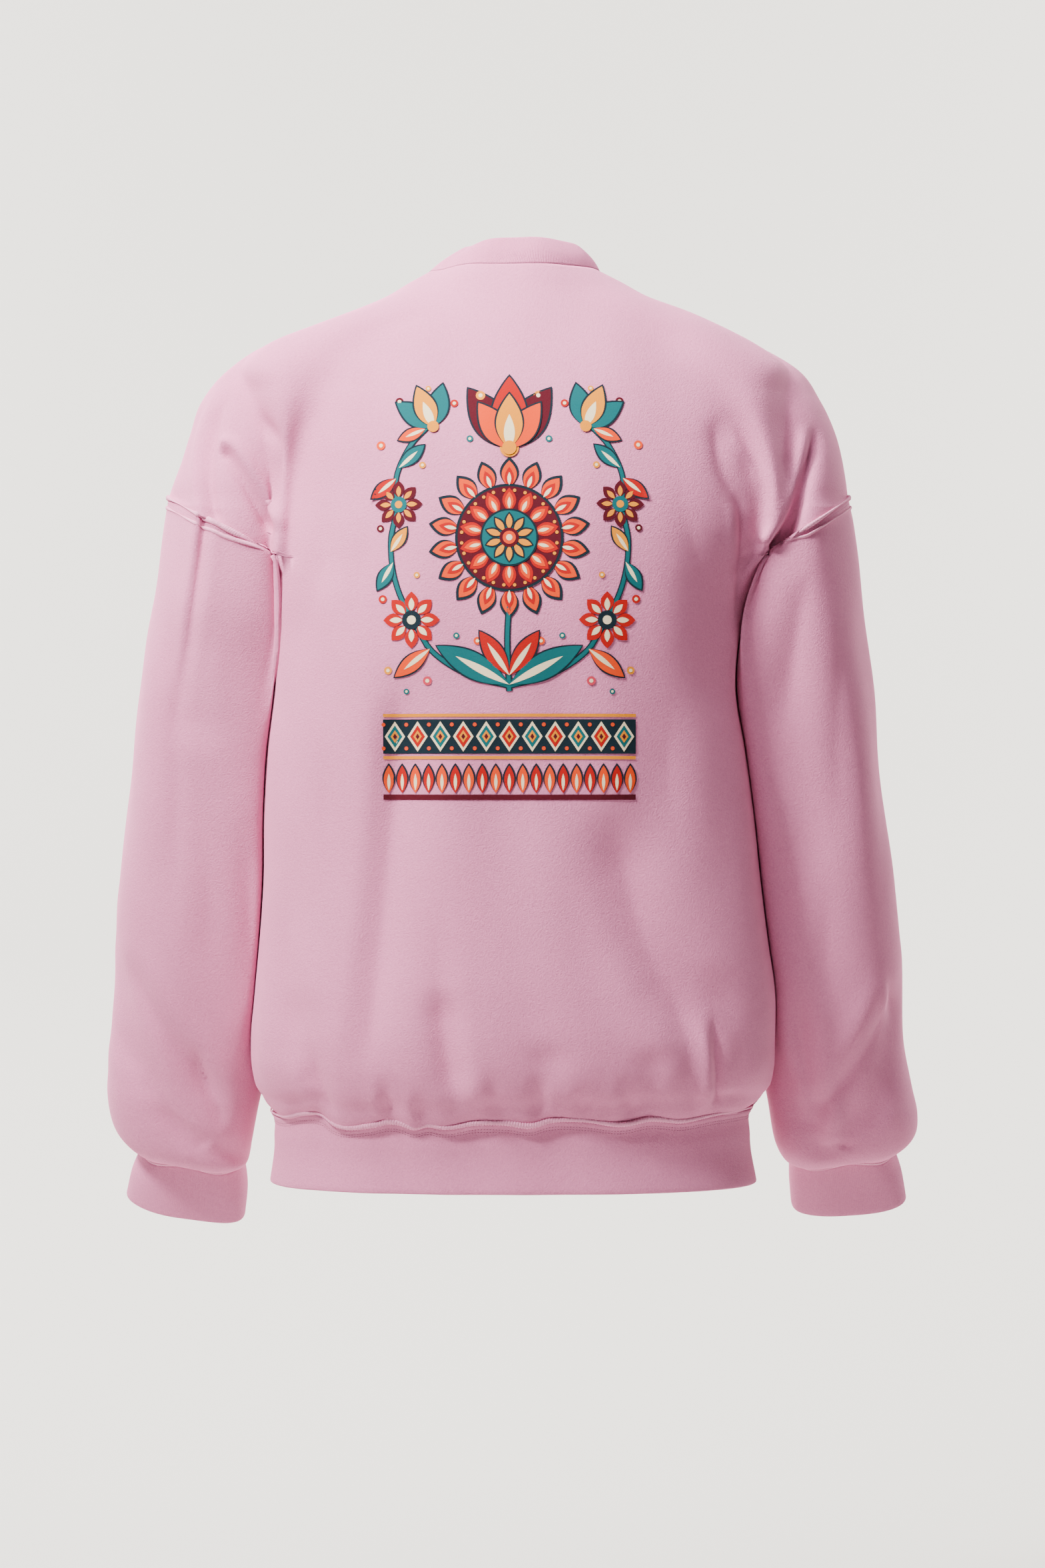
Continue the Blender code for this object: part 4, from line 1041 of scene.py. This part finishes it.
ribs = {"neck_rib": collar_cloth(), "waistband": waistband_cloth()}
for side in SIDES:
    ribs["cuff_" + side] = cuff_cloth(side)
for name, grid in ribs.items():
    cloth[name] = tube_piece(name + "_cloth", grid, RIB_WALL, True, RIB_HEIGHTS[name])
    declare(cloth[name], name)

# %% [markdown]
# ## Overlocked seams
# Inside a real sweatshirt an overlock stitch wraps the cut edges. Here the bundle shows on
# the outside as a soft roll with small slanted bumps. Each roll is a ring of cloth with an
# oval section whose size swells and shrinks along it.

# %% Seam rolls
ROLL_POINTS = 8          # points round a roll's section
BUMP_POINTS = 4          # points along one bump
SOFT_STEPS = 6           # neighbours averaged, so that a roll never kinks
BUMP_SLANT = 0.9         # how far round the section a bump is turned along the roll
UNEVEN, UNEVEN_STEP = 0.16, 0.031   # the roll's slow swelling and shrinking


def seam_roll(name, path, outward, half_height, half_depth, bump, bump_length, size):
    """A roll along a closed path; outward says which way its flat side faces."""
    length = lengths(np.vstack([path, path[:1]]))[-1]
    count = int(length / bump_length) * BUMP_POINTS
    line = soften(resample_ring(path, count), SOFT_STEPS)
    out = unit(soften(resample_ring(outward, count), SOFT_STEPS))
    along = unit(np.roll(line, -1, axis=0) - np.roll(line, 1, axis=0))
    side = np.cross(along, out)
    angles = np.arange(ROLL_POINTS) / ROLL_POINTS * math.tau
    phase = np.arange(count)[:, None] / BUMP_POINTS * math.tau
    swell = 1 + bump * np.sin(phase + BUMP_SLANT * np.sin(angles)[None, :] * 2)
    uneven = 1 + UNEVEN * np.sin(np.arange(count) * UNEVEN_STEP)[:, None]
    spots = np.arange(count) / count * len(path)
    sizes = np.interp(spots, np.arange(len(path) + 1), np.append(size, size[:1]))
    uneven = uneven * sizes[:, None]
    across = half_height * swell * uneven * np.sin(angles)
    deep = half_depth * swell * uneven * np.cos(angles)
    grid = line[:, None] + side[:, None] * across[..., None] + out[:, None] * deep[..., None]
    piece = add_closed_mesh(name, grid, np.repeat(line, ROLL_POINTS, axis=0))
    declare(piece, None, replaces=False)
    return piece


def grid_line(grid, row):
    """A line round a tube at a place between its rows, with its normals."""
    low = int(row)
    line = between(grid[low], grid[low + 1], row - low)
    return line, closed_normals(grid)[low]


HEM_ROLL, ARMHOLE_ROLL, CUFF_ROLL = (2.4, 1.8), (2.1, 1.5), (1.8, 1.2)
HEM_ROLL_OUT, HEM_ROLL_LIFT, ARMHOLE_ROLL_OUT = 1.3, 2.3, 0.7
SECOND_ROLL_OUT, CUFF_ROLL_OUT = 0.3, 0.1
SECOND_ROLL, SECOND_ROLL_ROW = (1.7, 1.1), 1.35   # the seam's turned edge, sewn down
# Under the arm the rolls shrink and sink, for there the armpit's crease hides the seam.
ROLL_END, ROLL_END_FADE = {"left": 3.0, "right": 9.0}, 12    # heights over the crease
SMALLEST_ROLL, ROLL_SINK, SECOND_ROLL_SINK = 0.04, 2.8, 2
# At the body's sides the hem's roll shrinks too, as it turns away from back and front.
SIDE_SHRINK, SIDE_START, SIDE_FADE = 0.65, 0.35, 0.5
band_out = closed_normals(ribs["waistband"])[0]
band_size = 1 - SIDE_SHRINK * fade((np.abs(band_out[:, :1]) - SIDE_START) / SIDE_FADE)
hem_line = ribs["waistband"][0] + band_out * HEM_ROLL_OUT * band_size + [0, 0, HEM_ROLL_LIFT]
rolls = [seam_roll("hem_seam", hem_line, band_out, *HEM_ROLL, 0.17, 2.1, band_size[:, 0])]
for side in SIDES:
    out = closed_normals(sleeves[side])
    above = sleeves[side][0, :, 2:] - ARMHOLE_CREASE - ROLL_END[side]
    shown = SMALLEST_ROLL + (1 - SMALLEST_ROLL) * fade(above / ROLL_END_FADE)
    sunk = out[2] * (ARMHOLE_ROLL_OUT - ROLL_SINK * (1 - shown))
    rolls.append(seam_roll("armhole_seam_" + side, sleeves[side][0] + sunk, out[2],
                           *ARMHOLE_ROLL, 0.10, 1.8, shown[:, 0]))
    line, line_out = grid_line(sleeves[side], SECOND_ROLL_ROW)
    sunk = line_out * (SECOND_ROLL_OUT - SECOND_ROLL_SINK * (1 - shown))
    rolls.append(seam_roll("armhole_turning_" + side, line + sunk, line_out, *SECOND_ROLL,
                           0.05, 2.3, shown[:, 0]))
    rolls.append(seam_roll("cuff_seam_" + side, sleeves[side][-1] + out[-1] * CUFF_ROLL_OUT,
                           out[-1], *CUFF_ROLL, 0.10, 1.8, np.ones(SLEEVE_COLUMNS_ROUND)))
print("rolls", [piece.name for piece in rolls])

# %% [markdown]
# ## Stitches
# One stitch is modelled first: a small round bead of thread pulled long. It is then
# copied along each sewn line, every copy turned to the line. All stitches of a line are
# one piece, because thousands of single objects would be slow to handle.

# %% One stitch
STITCH_LENGTH, STITCH_WIDTH = 1.45, 0.42
bpy.ops.object.select_all(action="DESELECT")
bpy.ops.mesh.primitive_uv_sphere_add(segments=6, ring_count=4, radius=0.5)
bead = bpy.context.object
bpy.ops.object.mode_set(mode="EDIT")
bpy.ops.mesh.select_all(action="SELECT")
bpy.ops.transform.resize(value=(STITCH_WIDTH, STITCH_WIDTH, STITCH_LENGTH))
bpy.ops.object.mode_set(mode="OBJECT")
bead_points = np.array([list(v.co) for v in bead.data.vertices])
bead_faces = [list(face.vertices) for face in bead.data.polygons]
bpy.data.objects.remove(bead, do_unlink=True)
print("stitch", len(bead_faces), "faces")


def stitch_line(name, line, outward, spacing, lift, lowest=-math.inf):
    """Copies of the stitch along a closed line on the cloth, above a lowest height."""
    length = lengths(np.vstack([line, line[:1]]))[-1]
    count = int(length / spacing)
    places, out = resample_ring(line, count), unit(resample_ring(outward, count))
    along = unit(np.roll(places, -1, axis=0) - np.roll(places, 1, axis=0))
    side = np.cross(along, out)
    seen = places[:, 2] > lowest
    axes, count = np.stack([side, out, along], axis=1)[seen], int(seen.sum())
    points = np.einsum("vk,nkc->nvc", bead_points, axes) + (places + out * lift)[seen][:, None]
    faces = [[corner + number * len(bead_points) for corner in face]
             for number in range(count) for face in bead_faces]
    piece = add_mesh(name, points.reshape(-1, 3), faces)
    declare(piece, None, replaces=False)
    print(name, count, "stitches")
    return piece


# %% Sewn lines
HEM_STITCH_ROWS = (1.7, 2.4)     # rows of the waistband's grid, each 3.25 mm
threads = []
for number, row in enumerate(HEM_STITCH_ROWS):
    threads.append(stitch_line(f"hem_stitches_{number + 1}", *grid_line(ribs["waistband"], row),
                               2.3, 0.12))
threads.append(stitch_line("neck_stitches", *grid_line(ribs["neck_rib"], 0.25), 2.1, 0.1))
for side in SIDES:
    threads.append(stitch_line("armhole_stitches_" + side, *grid_line(sleeves[side], 0.75),
                               2.3, 0.12, ARMHOLE_CREASE))

# %% [markdown]
# ## Fleece and rib materials
# Brushed knit is soft and matte. Its colour is a pale pink with a fine grain of two sizes,
# which is also its surface's relief, and a painted highlight turns it brighter pink at the
# silhouettes. The overlock's thread is a little lighter. All patterns read each piece's own
# places.

# %% Materials of the cloth
# The third colour is a painted highlight, mixed in towards the silhouettes where the surface turns
# away from the camera.
PINK, PINK_DEEP, PAINTED_RIM_HIGHLIGHT_PINK = (0.68, 0.220, 0.385), (0.51, 0.145, 0.27), (0.95, 0.27, 0.52)


def node(tree, kind, **values):
    made = tree.nodes.new(kind)
    for key, value in values.items():
        if key in made.inputs:
            made.inputs[key].default_value = value
        else:
            setattr(made, key, value)
    return made


def link(tree, start, end):
    tree.links.new(start, end)


def math_node(tree, operation, first, second=None, clamp=False):
    made = tree.nodes.new("ShaderNodeMath")
    made.operation, made.use_clamp = operation, clamp
    for number, value in enumerate((first, second)):
        if value is None:
            continue
        if hasattr(value, "is_linked"):
            tree.links.new(value, made.inputs[number])
        else:
            made.inputs[number].default_value = value
    return made.outputs[0]


def mix_colour(tree, share, first, second):
    made = node(tree, "ShaderNodeMix", data_type="RGBA")
    for socket, value in ((made.inputs[0], share), (made.inputs[6], first),
                          (made.inputs[7], second)):
        if hasattr(value, "is_linked"):
            tree.links.new(value, socket)
        elif isinstance(value, tuple):
            socket.default_value = (*value, 1.0)
        else:
            socket.default_value = value
    return made.outputs[2]


def noise(tree, scale, **values):
    made = node(tree, "ShaderNodeTexNoise", Scale=scale, **values)
    place = node(tree, "ShaderNodeTexCoord")
    link(tree, place.outputs["Object"], made.inputs["Vector"])
    return made.outputs["Fac"]


def new_material(name, **values):
    """A material whose surface has these values, named as its inputs are, with _ for a space."""
    material = bpy.data.materials.new(name)
    material.use_nodes = True
    shader = material.node_tree.nodes["Principled BSDF"]
    for key, value in values.items():
        shader.inputs[key.replace("_", " ")].default_value = value
    return material, material.node_tree, shader


def add_bump(tree, shader, height, strength, distance):
    bump = node(tree, "ShaderNodeBump", Strength=strength, Distance=distance)
    link(tree, height, bump.inputs["Height"])
    link(tree, bump.outputs[0], shader.inputs["Normal"])


def knit_material(name, colour, deep):
    material, tree, shader = new_material(
        name, Roughness=0.92, Specular_IOR_Level=0.18, Sheen_Weight=0.12, Sheen_Roughness=0.55,
        Sheen_Tint=(1.0, 0.70, 0.82, 1.0))
    grain = math_node(tree, "ADD", noise(tree, 1000.0, Detail=3.0, Roughness=0.6),
                      noise(tree, 560.0, Detail=3.0, Roughness=0.65))
    shade = math_node(tree, "ADD", math_node(tree, "MULTIPLY", grain, 1.1),
                      math_node(tree, "MULTIPLY", noise(tree, 14.0, Detail=2.0), 0.35))
    shade = mix_colour(tree, math_node(tree, "SUBTRACT", shade, 0.88, clamp=True), colour, deep)
    # Painted highlight: the colour turns brighter pink where the surface faces away from the
    # camera, at the silhouettes.
    painted_rim_facing = node(tree, "ShaderNodeLayerWeight", Blend=0.32)
    edge = math_node(tree, "POWER", painted_rim_facing.outputs["Facing"], 2.9, clamp=True)
    final = mix_colour(tree, math_node(tree, "MULTIPLY", edge, 0.85), shade, PAINTED_RIM_HIGHLIGHT_PINK)
    link(tree, final, shader.inputs["Base Color"])
    add_bump(tree, shader, grain, 0.55, 0.0008)
    return material


fleece = knit_material("brushed_fleece", PINK, PINK_DEEP)
rib_knit = knit_material("rib_knit", PINK, PINK_DEEP)
overlock = knit_material("overlock_thread", (0.78, 0.32, 0.485), (0.62, 0.21, 0.36))
# The stitches are thread, coloured dark as painted shade for the needle holes they sink into.
stitch_thread_and_painted_shade = knit_material("sewing_thread_and_painted_shade", (0.30, 0.12, 0.17), (0.22, 0.09, 0.13))
for name, piece in cloth.items():
    piece.data.materials.append(rib_knit if name in ribs else fleece)
for pieces, material in ((rolls, overlock), (threads, stitch_thread_and_painted_shade)):
    for piece in pieces:
        piece.data.materials.append(material)
print("materials", len(bpy.data.materials))

# %% [markdown]
# ## The printed place on the back
# A large coloured print fills the upper back. Its motifs here are generic folk shapes:
# blossoms, tulips, leaves, dots and bordered bands. A print is a layer of ink on the cloth,
# so each shape is a thin patch laid on the panel's own surface.

# %% The surface under the print
PRINT_LEFT, PRINT_RIGHT, PRINT_TOP, PRINT_BOTTOM = 112.0, -92.0, -90.0, -424.0
PRINT_STEP = 2.0
INK_LIFT, INK_LAYER, INK_STEP = 0.5, 0.11, 2.6


def print_surface():
    """How far back the cloth lies at each x and height of the print's own raster."""
    xs = np.arange(PRINT_RIGHT, PRINT_LEFT + PRINT_STEP, PRINT_STEP)
    zs = np.arange(PRINT_BOTTOM, PRINT_TOP + PRINT_STEP, PRINT_STEP)
    grid = panels["back"][:, UNDERARM_COLUMNS:-UNDERARM_COLUMNS]
    heights = np.array([np.interp(xs, row[:, 0], row[:, 2]) for row in grid])
    depths = np.array([np.interp(xs, row[:, 0], row[:, 1]) for row in grid])
    return xs, zs, np.array([np.interp(zs, heights[::-1, i], depths[::-1, i])
                             for i in range(len(xs))])


PRINT_XS, PRINT_ZS, PRINT_YS = print_surface()


def on_cloth(x, z, layer):
    """Points of the print at x and z, a little above the cloth."""
    column = np.clip((x - PRINT_XS[0]) / PRINT_STEP, 0, len(PRINT_XS) - 1.001)
    row = np.clip((z - PRINT_ZS[0]) / PRINT_STEP, 0, len(PRINT_ZS) - 1.001)
    i, j = column.astype(int), row.astype(int)
    a, b = column - i, row - j
    y = ((1 - a) * (1 - b) * PRINT_YS[i, j] + a * (1 - b) * PRINT_YS[i + 1, j]
         + (1 - a) * b * PRINT_YS[i, j + 1] + a * b * PRINT_YS[i + 1, j + 1])
    return np.stack([x, y + INK_LIFT + INK_LAYER * layer, z], axis=-1)


print("print raster", PRINT_YS.shape)

# %% Shapes of ink
INKS = {
    "red": (0.36, 0.002, 0.002), "orange": (0.64, 0.042, 0.001), "maroon": (0.065, 0.001, 0.007),
    "teal": (0.001, 0.092, 0.100), "gold": (0.64, 0.21, 0.004), "cream": (0.74, 0.60, 0.38),
    "night": (0.003, 0.012, 0.019), "rose": (0.48, 0.03, 0.06),
}
CENTRE_X = 10.0
ink_patches = {name: [] for name in INKS}


def add_patch(ink, x, z, layer):
    ink_patches[ink].append(on_cloth(CENTRE_X + x, z, layer))


def leaf(x, z, length, width, angle, ink, layer, tip=1.0):
    """A pointed patch from its foot at x, z; angle 0 points up, 90 to the wearer's left."""
    along = np.linspace(0, 1, max(7, int(length / 2)))[:, None]
    across = np.linspace(-1, 1, 5)[None, :]
    half = width / 2 * np.sin(math.pi * along ** tip) ** 0.9
    heading = math.radians(angle)
    forward, sideways = along * length + 0 * across, half * across
    add_patch(ink, x + forward * math.sin(heading) + sideways * math.cos(heading),
              z + forward * math.cos(heading) - sideways * math.sin(heading), layer)


def dot(x, z, radius, ink, layer, flat=1.0):
    turn = np.linspace(0, math.tau, max(13, int(radius * 1.6) + 12))[:, None]
    reach = np.linspace(0.02, 1, max(3, int(radius / 4)))[None, :]
    add_patch(ink, x + radius * reach * np.sin(turn), z + radius * flat * reach * np.cos(turn),
              layer)


def diamond(x, z, width, height, ink, layer):
    along = np.linspace(-1, 1, 9)[:, None]
    across = np.linspace(-1, 1, 5)[None, :]
    add_patch(ink, x + width / 2 * (1 - np.abs(along)) * across, z + height / 2 * along
              + 0 * across, layer)


def ribbon(points, width, ink, layer):
    """A stripe of ink along a smooth line."""
    points = np.array(points, float)
    length = np.hypot(*np.diff(points, axis=0).T).sum()
    places = np.linspace(0, len(points) - 1, int(length / INK_STEP) + 2)
    line = np.stack([smooth_read(range(len(points)), points[:, axis], places)
                     for axis in (0, 1)], axis=-1)
    heading = unit(np.gradient(line, axis=0))
    across = np.linspace(-1, 1, int(width / INK_STEP) + 3)[None, :] * width / 2
    add_patch(ink, line[:, :1] + heading[:, 1:] * across, line[:, 1:] - heading[:, :1] * across,
              layer)


def petals(x, z, count, inner, length, width, ink, layer, turn=0.0, tip=1.0):
    for number in range(count):
        angle = turn + 360 / count * number
        foot = math.radians(angle)
        leaf(x + inner * math.sin(foot), z + inner * math.cos(foot), length, width, angle, ink,
             layer, tip)


print("inks", list(INKS))


# %% [markdown]
# The design: a great round blossom in the middle, a tulip above it, smaller blossoms at
# its sides on curling stems, leaves below, and two bordered bands at the foot.

# %% The design
def great_blossom(x, z):
    petals(x, z, 18, 38, 24, 14.5, "night", 0)
    petals(x, z, 18, 38, 21, 11.5, "orange", 1)
    petals(x, z, 18, 38, 16, 7.0, "red", 2)
    petals(x, z, 18, 40, 10, 3.0, "cream", 3)
    dot(x, z, 41, "night", 3)
    dot(x, z, 39, "maroon", 4)
    petals(x, z, 14, 19, 19, 10.5, "red", 5)
    petals(x, z, 14, 20, 15, 6.6, "orange", 6)
    petals(x, z, 14, 22, 9, 2.8, "cream", 7)
    dot(x, z, 22, "night", 7)
    dot(x, z, 20.5, "teal", 8)
    petals(x, z, 10, 5, 14.5, 7.6, "night", 9)
    petals(x, z, 10, 6, 12, 4.8, "gold", 10)
    dot(x, z, 7.4, "maroon", 11)
    dot(x, z, 5.0, "orange", 12)
    dot(x, z, 2.4, "cream", 13)
    for number in range(28):
        angle = math.tau * (number + 0.5) / 28
        dot(x + 36.2 * math.sin(angle), z + 36.2 * math.cos(angle), 1.3, "gold", 6)


def small_blossom(x, z, size, outer, inner, heart):
    petals(x, z, 8, size * 0.30, size * 0.78, size * 0.52, outer, 2)
    petals(x, z, 8, size * 0.34, size * 0.50, size * 0.22, inner, 3)
    dot(x, z, size * 0.36, heart, 4)
    dot(x, z, size * 0.17, inner, 5)


def tulip(x, z, size, angle, outer, inner, layer=2):
    for number, (spread, ink) in enumerate(((34, outer), (-34, outer), (0, inner))):
        leaf(x, z, size + 2, size * 0.48 + 2.6, angle + spread, "night", layer + number, 0.85)
        leaf(x, z, size, size * 0.48, angle + spread, ink, layer + number + 0.5, 0.85)
    leaf(x, z, size * 0.62, size * 0.20, angle, "cream", layer + 3, 0.85)
    dot(x, z, size * 0.13, "gold", layer + 4)


def stems():
    for width, ink, layer in ((5.0, "night", 0), (3.0, "teal", 1)):
        ribbon([(0, -338), (1.5, -300), (0, -270)], width, ink, layer)
    for sign in (1, -1):
        for width, ink, layer in ((4.6, "night", 0), (2.8, "teal", 1)):
            for line in (((0, -334), (30, -326), (58, -308), (74, -282)),
                         ((62, -304), (84, -262), (90, -226), (84, -196)),
                         ((84, -202), (86, -176), (76, -152), (62, -136))):
                ribbon([(sign * x, z) for x, z in line], width, ink, layer)


def leaves():
    for x, z, length, width, angle, ink in (
            (0, -333, 62, 19, 62, "teal"), (0, -326, 40, 14, 34, "red"),
            (60, -306, 34, 12, 128, "orange"), (88, -240, 24, 10, 150, "teal"),
            (90, -232, 22, 9, -34, "gold"), (86, -176, 24, 10, 128, "red"),
            (84, -168, 26, 10, -48, "teal"), (64, -138, 22, 9, 112, "orange")):
        for sign in (1, -1):
            leaf(sign * x, z, length + 1.6, width + 2.4, sign * angle, "night", 2)
            leaf(sign * x, z, length, width, sign * angle, ink, 3)
            leaf(sign * x, z, length * 0.74, width * 0.30, sign * angle, "cream", 4)


def borders():
    for z, ink, width, layer in ((-356, "gold", 2.4, 0), (-372, "night", 26, 0),
                                 (-388, "gold", 2.4, 0), (-418, "maroon", 4.0, 0)):
        ribbon([(-96, z), (0, z), (96, z)], width, ink, layer)
    for number in range(-5, 6):
        x = number * 17.4
        diamond(x, -372, 15.5, 23, "cream", 2)
        diamond(x, -372, 11.5, 17, "teal" if number % 2 else "red", 3)
        diamond(x, -372, 6.5, 9.5, "gold", 4)
        diamond(x, -372, 3.0, 4.6, "maroon", 5)
        dot(x + 8.7, -363, 1.5, "orange", 2)
        dot(x + 8.7, -381, 1.5, "orange", 2)
    for number in range(-9, 10):
        x = number * 10.2
        leaf(x, -415, 23, 10, 0, "night", 1)
        leaf(x, -415, 21, 7.8, 0, "orange" if number % 2 else "red", 2)
        leaf(x, -413, 13, 2.6, 0, "cream", 3)


def sprinkles():
    for x, z, radius, ink in (
            (22, -112, 3.6, "gold"), (42, -118, 3.0, "red"), (30, -146, 2.6, "teal"),
            (98, -150, 3.4, "orange"), (98, -214, 2.8, "maroon"), (96, -268, 3.2, "red"),
            (92, -322, 3.0, "gold"), (24, -300, 3.0, "orange"), (40, -296, 2.4, "teal"),
            (62, -330, 3.4, "rose"), (78, -338, 2.2, "teal"), (62, -106, 2.2, "gold"),
            (84, -116, 3.2, "maroon"), (66, -166, 2.6, "gold"), (70, -250, 2.4, "gold")):
        for sign in (1, -1):
            dot(sign * x, z, radius, ink, 1)
            dot(sign * x, z, radius * 0.45, "cream", 2)


stems()
leaves()
great_blossom(0, -222)
tulip(0, -153, 56, 0, "maroon", "red", 0)
tulip(0, -153, 42, 0, "orange", "gold", 5)
for sign in (1, -1):
    small_blossom(sign * 84, -196, 17, "maroon", "gold", "teal")
    small_blossom(sign * 74, -284, 20, "red", "cream", "night")
    tulip(sign * 58, -136, 34, sign * 22, "teal", "gold")
borders()
sprinkles()
print("patches", {name: len(patches) for name, patches in ink_patches.items()})

# %% [markdown]
# Ink is smoother than fleece but takes on its grain, and it is worn a little thin, so the
# material keeps the cloth's fine flecks in a weaker form.

# %% Ink on the cloth
def ink_material(name, colour):
    material, tree, shader = new_material("ink_" + name, Roughness=0.8, Specular_IOR_Level=0.1)
    flecks = noise(tree, 800.0, Detail=3.0, Roughness=0.6)
    share = math_node(tree, "MULTIPLY", flecks, 0.05)
    paler = tuple(between(part, 1.0, 0.14) for part in colour)
    link(tree, mix_colour(tree, share, colour, paler), shader.inputs["Base Color"])
    add_bump(tree, shader, flecks, 0.3, 0.0005)
    return material


def ink_piece(name):
    points, faces, start = [], [], 0
    for patch in ink_patches[name]:
        used = np.ones(patch.shape[:2], bool)
        faces.append(grid_faces(used, False) + start)
        points.append(patch.reshape(-1, 3))
        start += used.size
    points, faces = np.vstack(points), np.vstack(faces)
    inward = face_areas(points, faces)[:, 1] < 0
    faces[inward] = faces[inward][:, ::-1]
    piece = add_mesh("print_" + name, points, faces)
    piece.data.materials.append(ink_material(name, INKS[name]))
    declare(piece, None, replaces=False)
    return piece


prints = [ink_piece(name) for name in INKS]
print("ink faces", sum(len(piece.data.polygons) for piece in prints))

# %% [markdown]

# %% [markdown]
# ## Studio
# The photographed side is the back. The garment floats, so the pale floor lies well below
# it and runs up into a pale wall behind. A key lamp stands at the upper left and a softer
# one above; weak lamps fill in from the camera and from behind, and two light the wall.

# %% Floor, lamps and camera
FLOOR_HEIGHT, FLOOR_RADIUS, WALL_RADIUS, WALL_TOP = -1.3, 1.6, 4.6, 5.0
WALL_END = 0.1           # the wall stands behind the garment and a little round its sides
STUDIO_GREY = (0.75, 0.73, 0.685)


def studio_floor():
    profile = [(0, 0), (FLOOR_RADIUS, 0)]
    profile += [(FLOOR_RADIUS + (WALL_RADIUS - FLOOR_RADIUS) * math.sin(a),
                 (WALL_RADIUS - FLOOR_RADIUS) * (1 - math.cos(a)))
                for a in np.linspace(0.1, math.pi / 2, 14)]
    profile.append((WALL_RADIUS, WALL_TOP))
    turns = np.linspace(0, math.tau, 73)[:-1]
    grid = np.array([[(r * math.cos(t), r * math.sin(t), FLOOR_HEIGHT + h) for t in turns]
                     for r, h in profile]) / MM
    used = (grid[..., 2] * MM < FLOOR_HEIGHT + 0.01) | (np.sin(turns)[None, :] < WALL_END)
    return add_mesh("studio_floor", grid.reshape(-1, 3), grid_faces(used, True))


floor = studio_floor()
paper, _, _ = new_material("studio_paper", Base_Color=(*STUDIO_GREY, 1.0), Roughness=1.0,
                           Specular_IOR_Level=0.0, Emission_Color=(*STUDIO_GREY, 1.0),
                           Emission_Strength=0.05)
floor.data.materials.append(paper)

CAMERA_DISTANCE, CAMERA_HEIGHT, PIXEL_SIZE, IMAGE_HEIGHT = 2.6, -0.408, 0.000533, 2352
camera_data = bpy.data.cameras.new("camera")
camera_data.sensor_width = 36.0
camera_data.lens = camera_data.sensor_width * CAMERA_DISTANCE / (PIXEL_SIZE * IMAGE_HEIGHT)
camera = bpy.data.objects.new("camera", camera_data)
camera.location = (0.0, CAMERA_DISTANCE, CAMERA_HEIGHT)
camera.rotation_euler = (math.radians(90), 0.0, math.radians(180))
bpy.context.collection.objects.link(camera)
bpy.context.scene.camera = camera


def lamp(name, place, target, size, power, colour):
    data = bpy.data.lights.new(name, "AREA")
    data.shape, data.size, data.energy, data.color = "DISK", size, power, colour
    made = bpy.data.objects.new(name, data)
    made.location = place
    heading = np.array(target) - np.array(place)
    made.rotation_euler = (math.acos(-heading[2] / np.linalg.norm(heading)), 0.0,
                           math.atan2(heading[0], -heading[1]) + math.pi)
    bpy.context.collection.objects.link(made)
    return made


lamp("key", (1.32, 1.16, 1.1), (0.05, 0.05, -0.2), 0.4, 134.0, (1.0, 0.985, 0.98))
lamp("top", (0.3, 0.55, 0.85), (0.0, 0.0, -0.1), 0.6, 33.0, (1.0, 0.99, 0.985))
lamp("camera_fill", (0.5, 2.4, -0.75), (0.0, 0.0, -0.5), 0.7, 5.5, (0.98, 0.97, 1.0))
lamp("front_fill", (0.8, -2.4, 0.9), (0.0, 0.0, -0.4), 1.6, 46.0, (1.0, 0.99, 0.98))
for side in (1, -1):
    lamp(f"wall_light_{side}", (side * 3.0, -1.9, 1.6), (side * 0.6, -4.2, 0.6), 1.5, 300.0,
         (1.0, 0.99, 0.975))
world = bpy.data.worlds.new("studio")
world.use_nodes = True
sky = world.node_tree.nodes["Background"].inputs
sky["Color"].default_value, sky["Strength"].default_value = (1.0, 0.99, 0.97, 1.0), 0.09
bpy.context.scene.world = world
print("camera lens", round(camera_data.lens, 2), "mm")
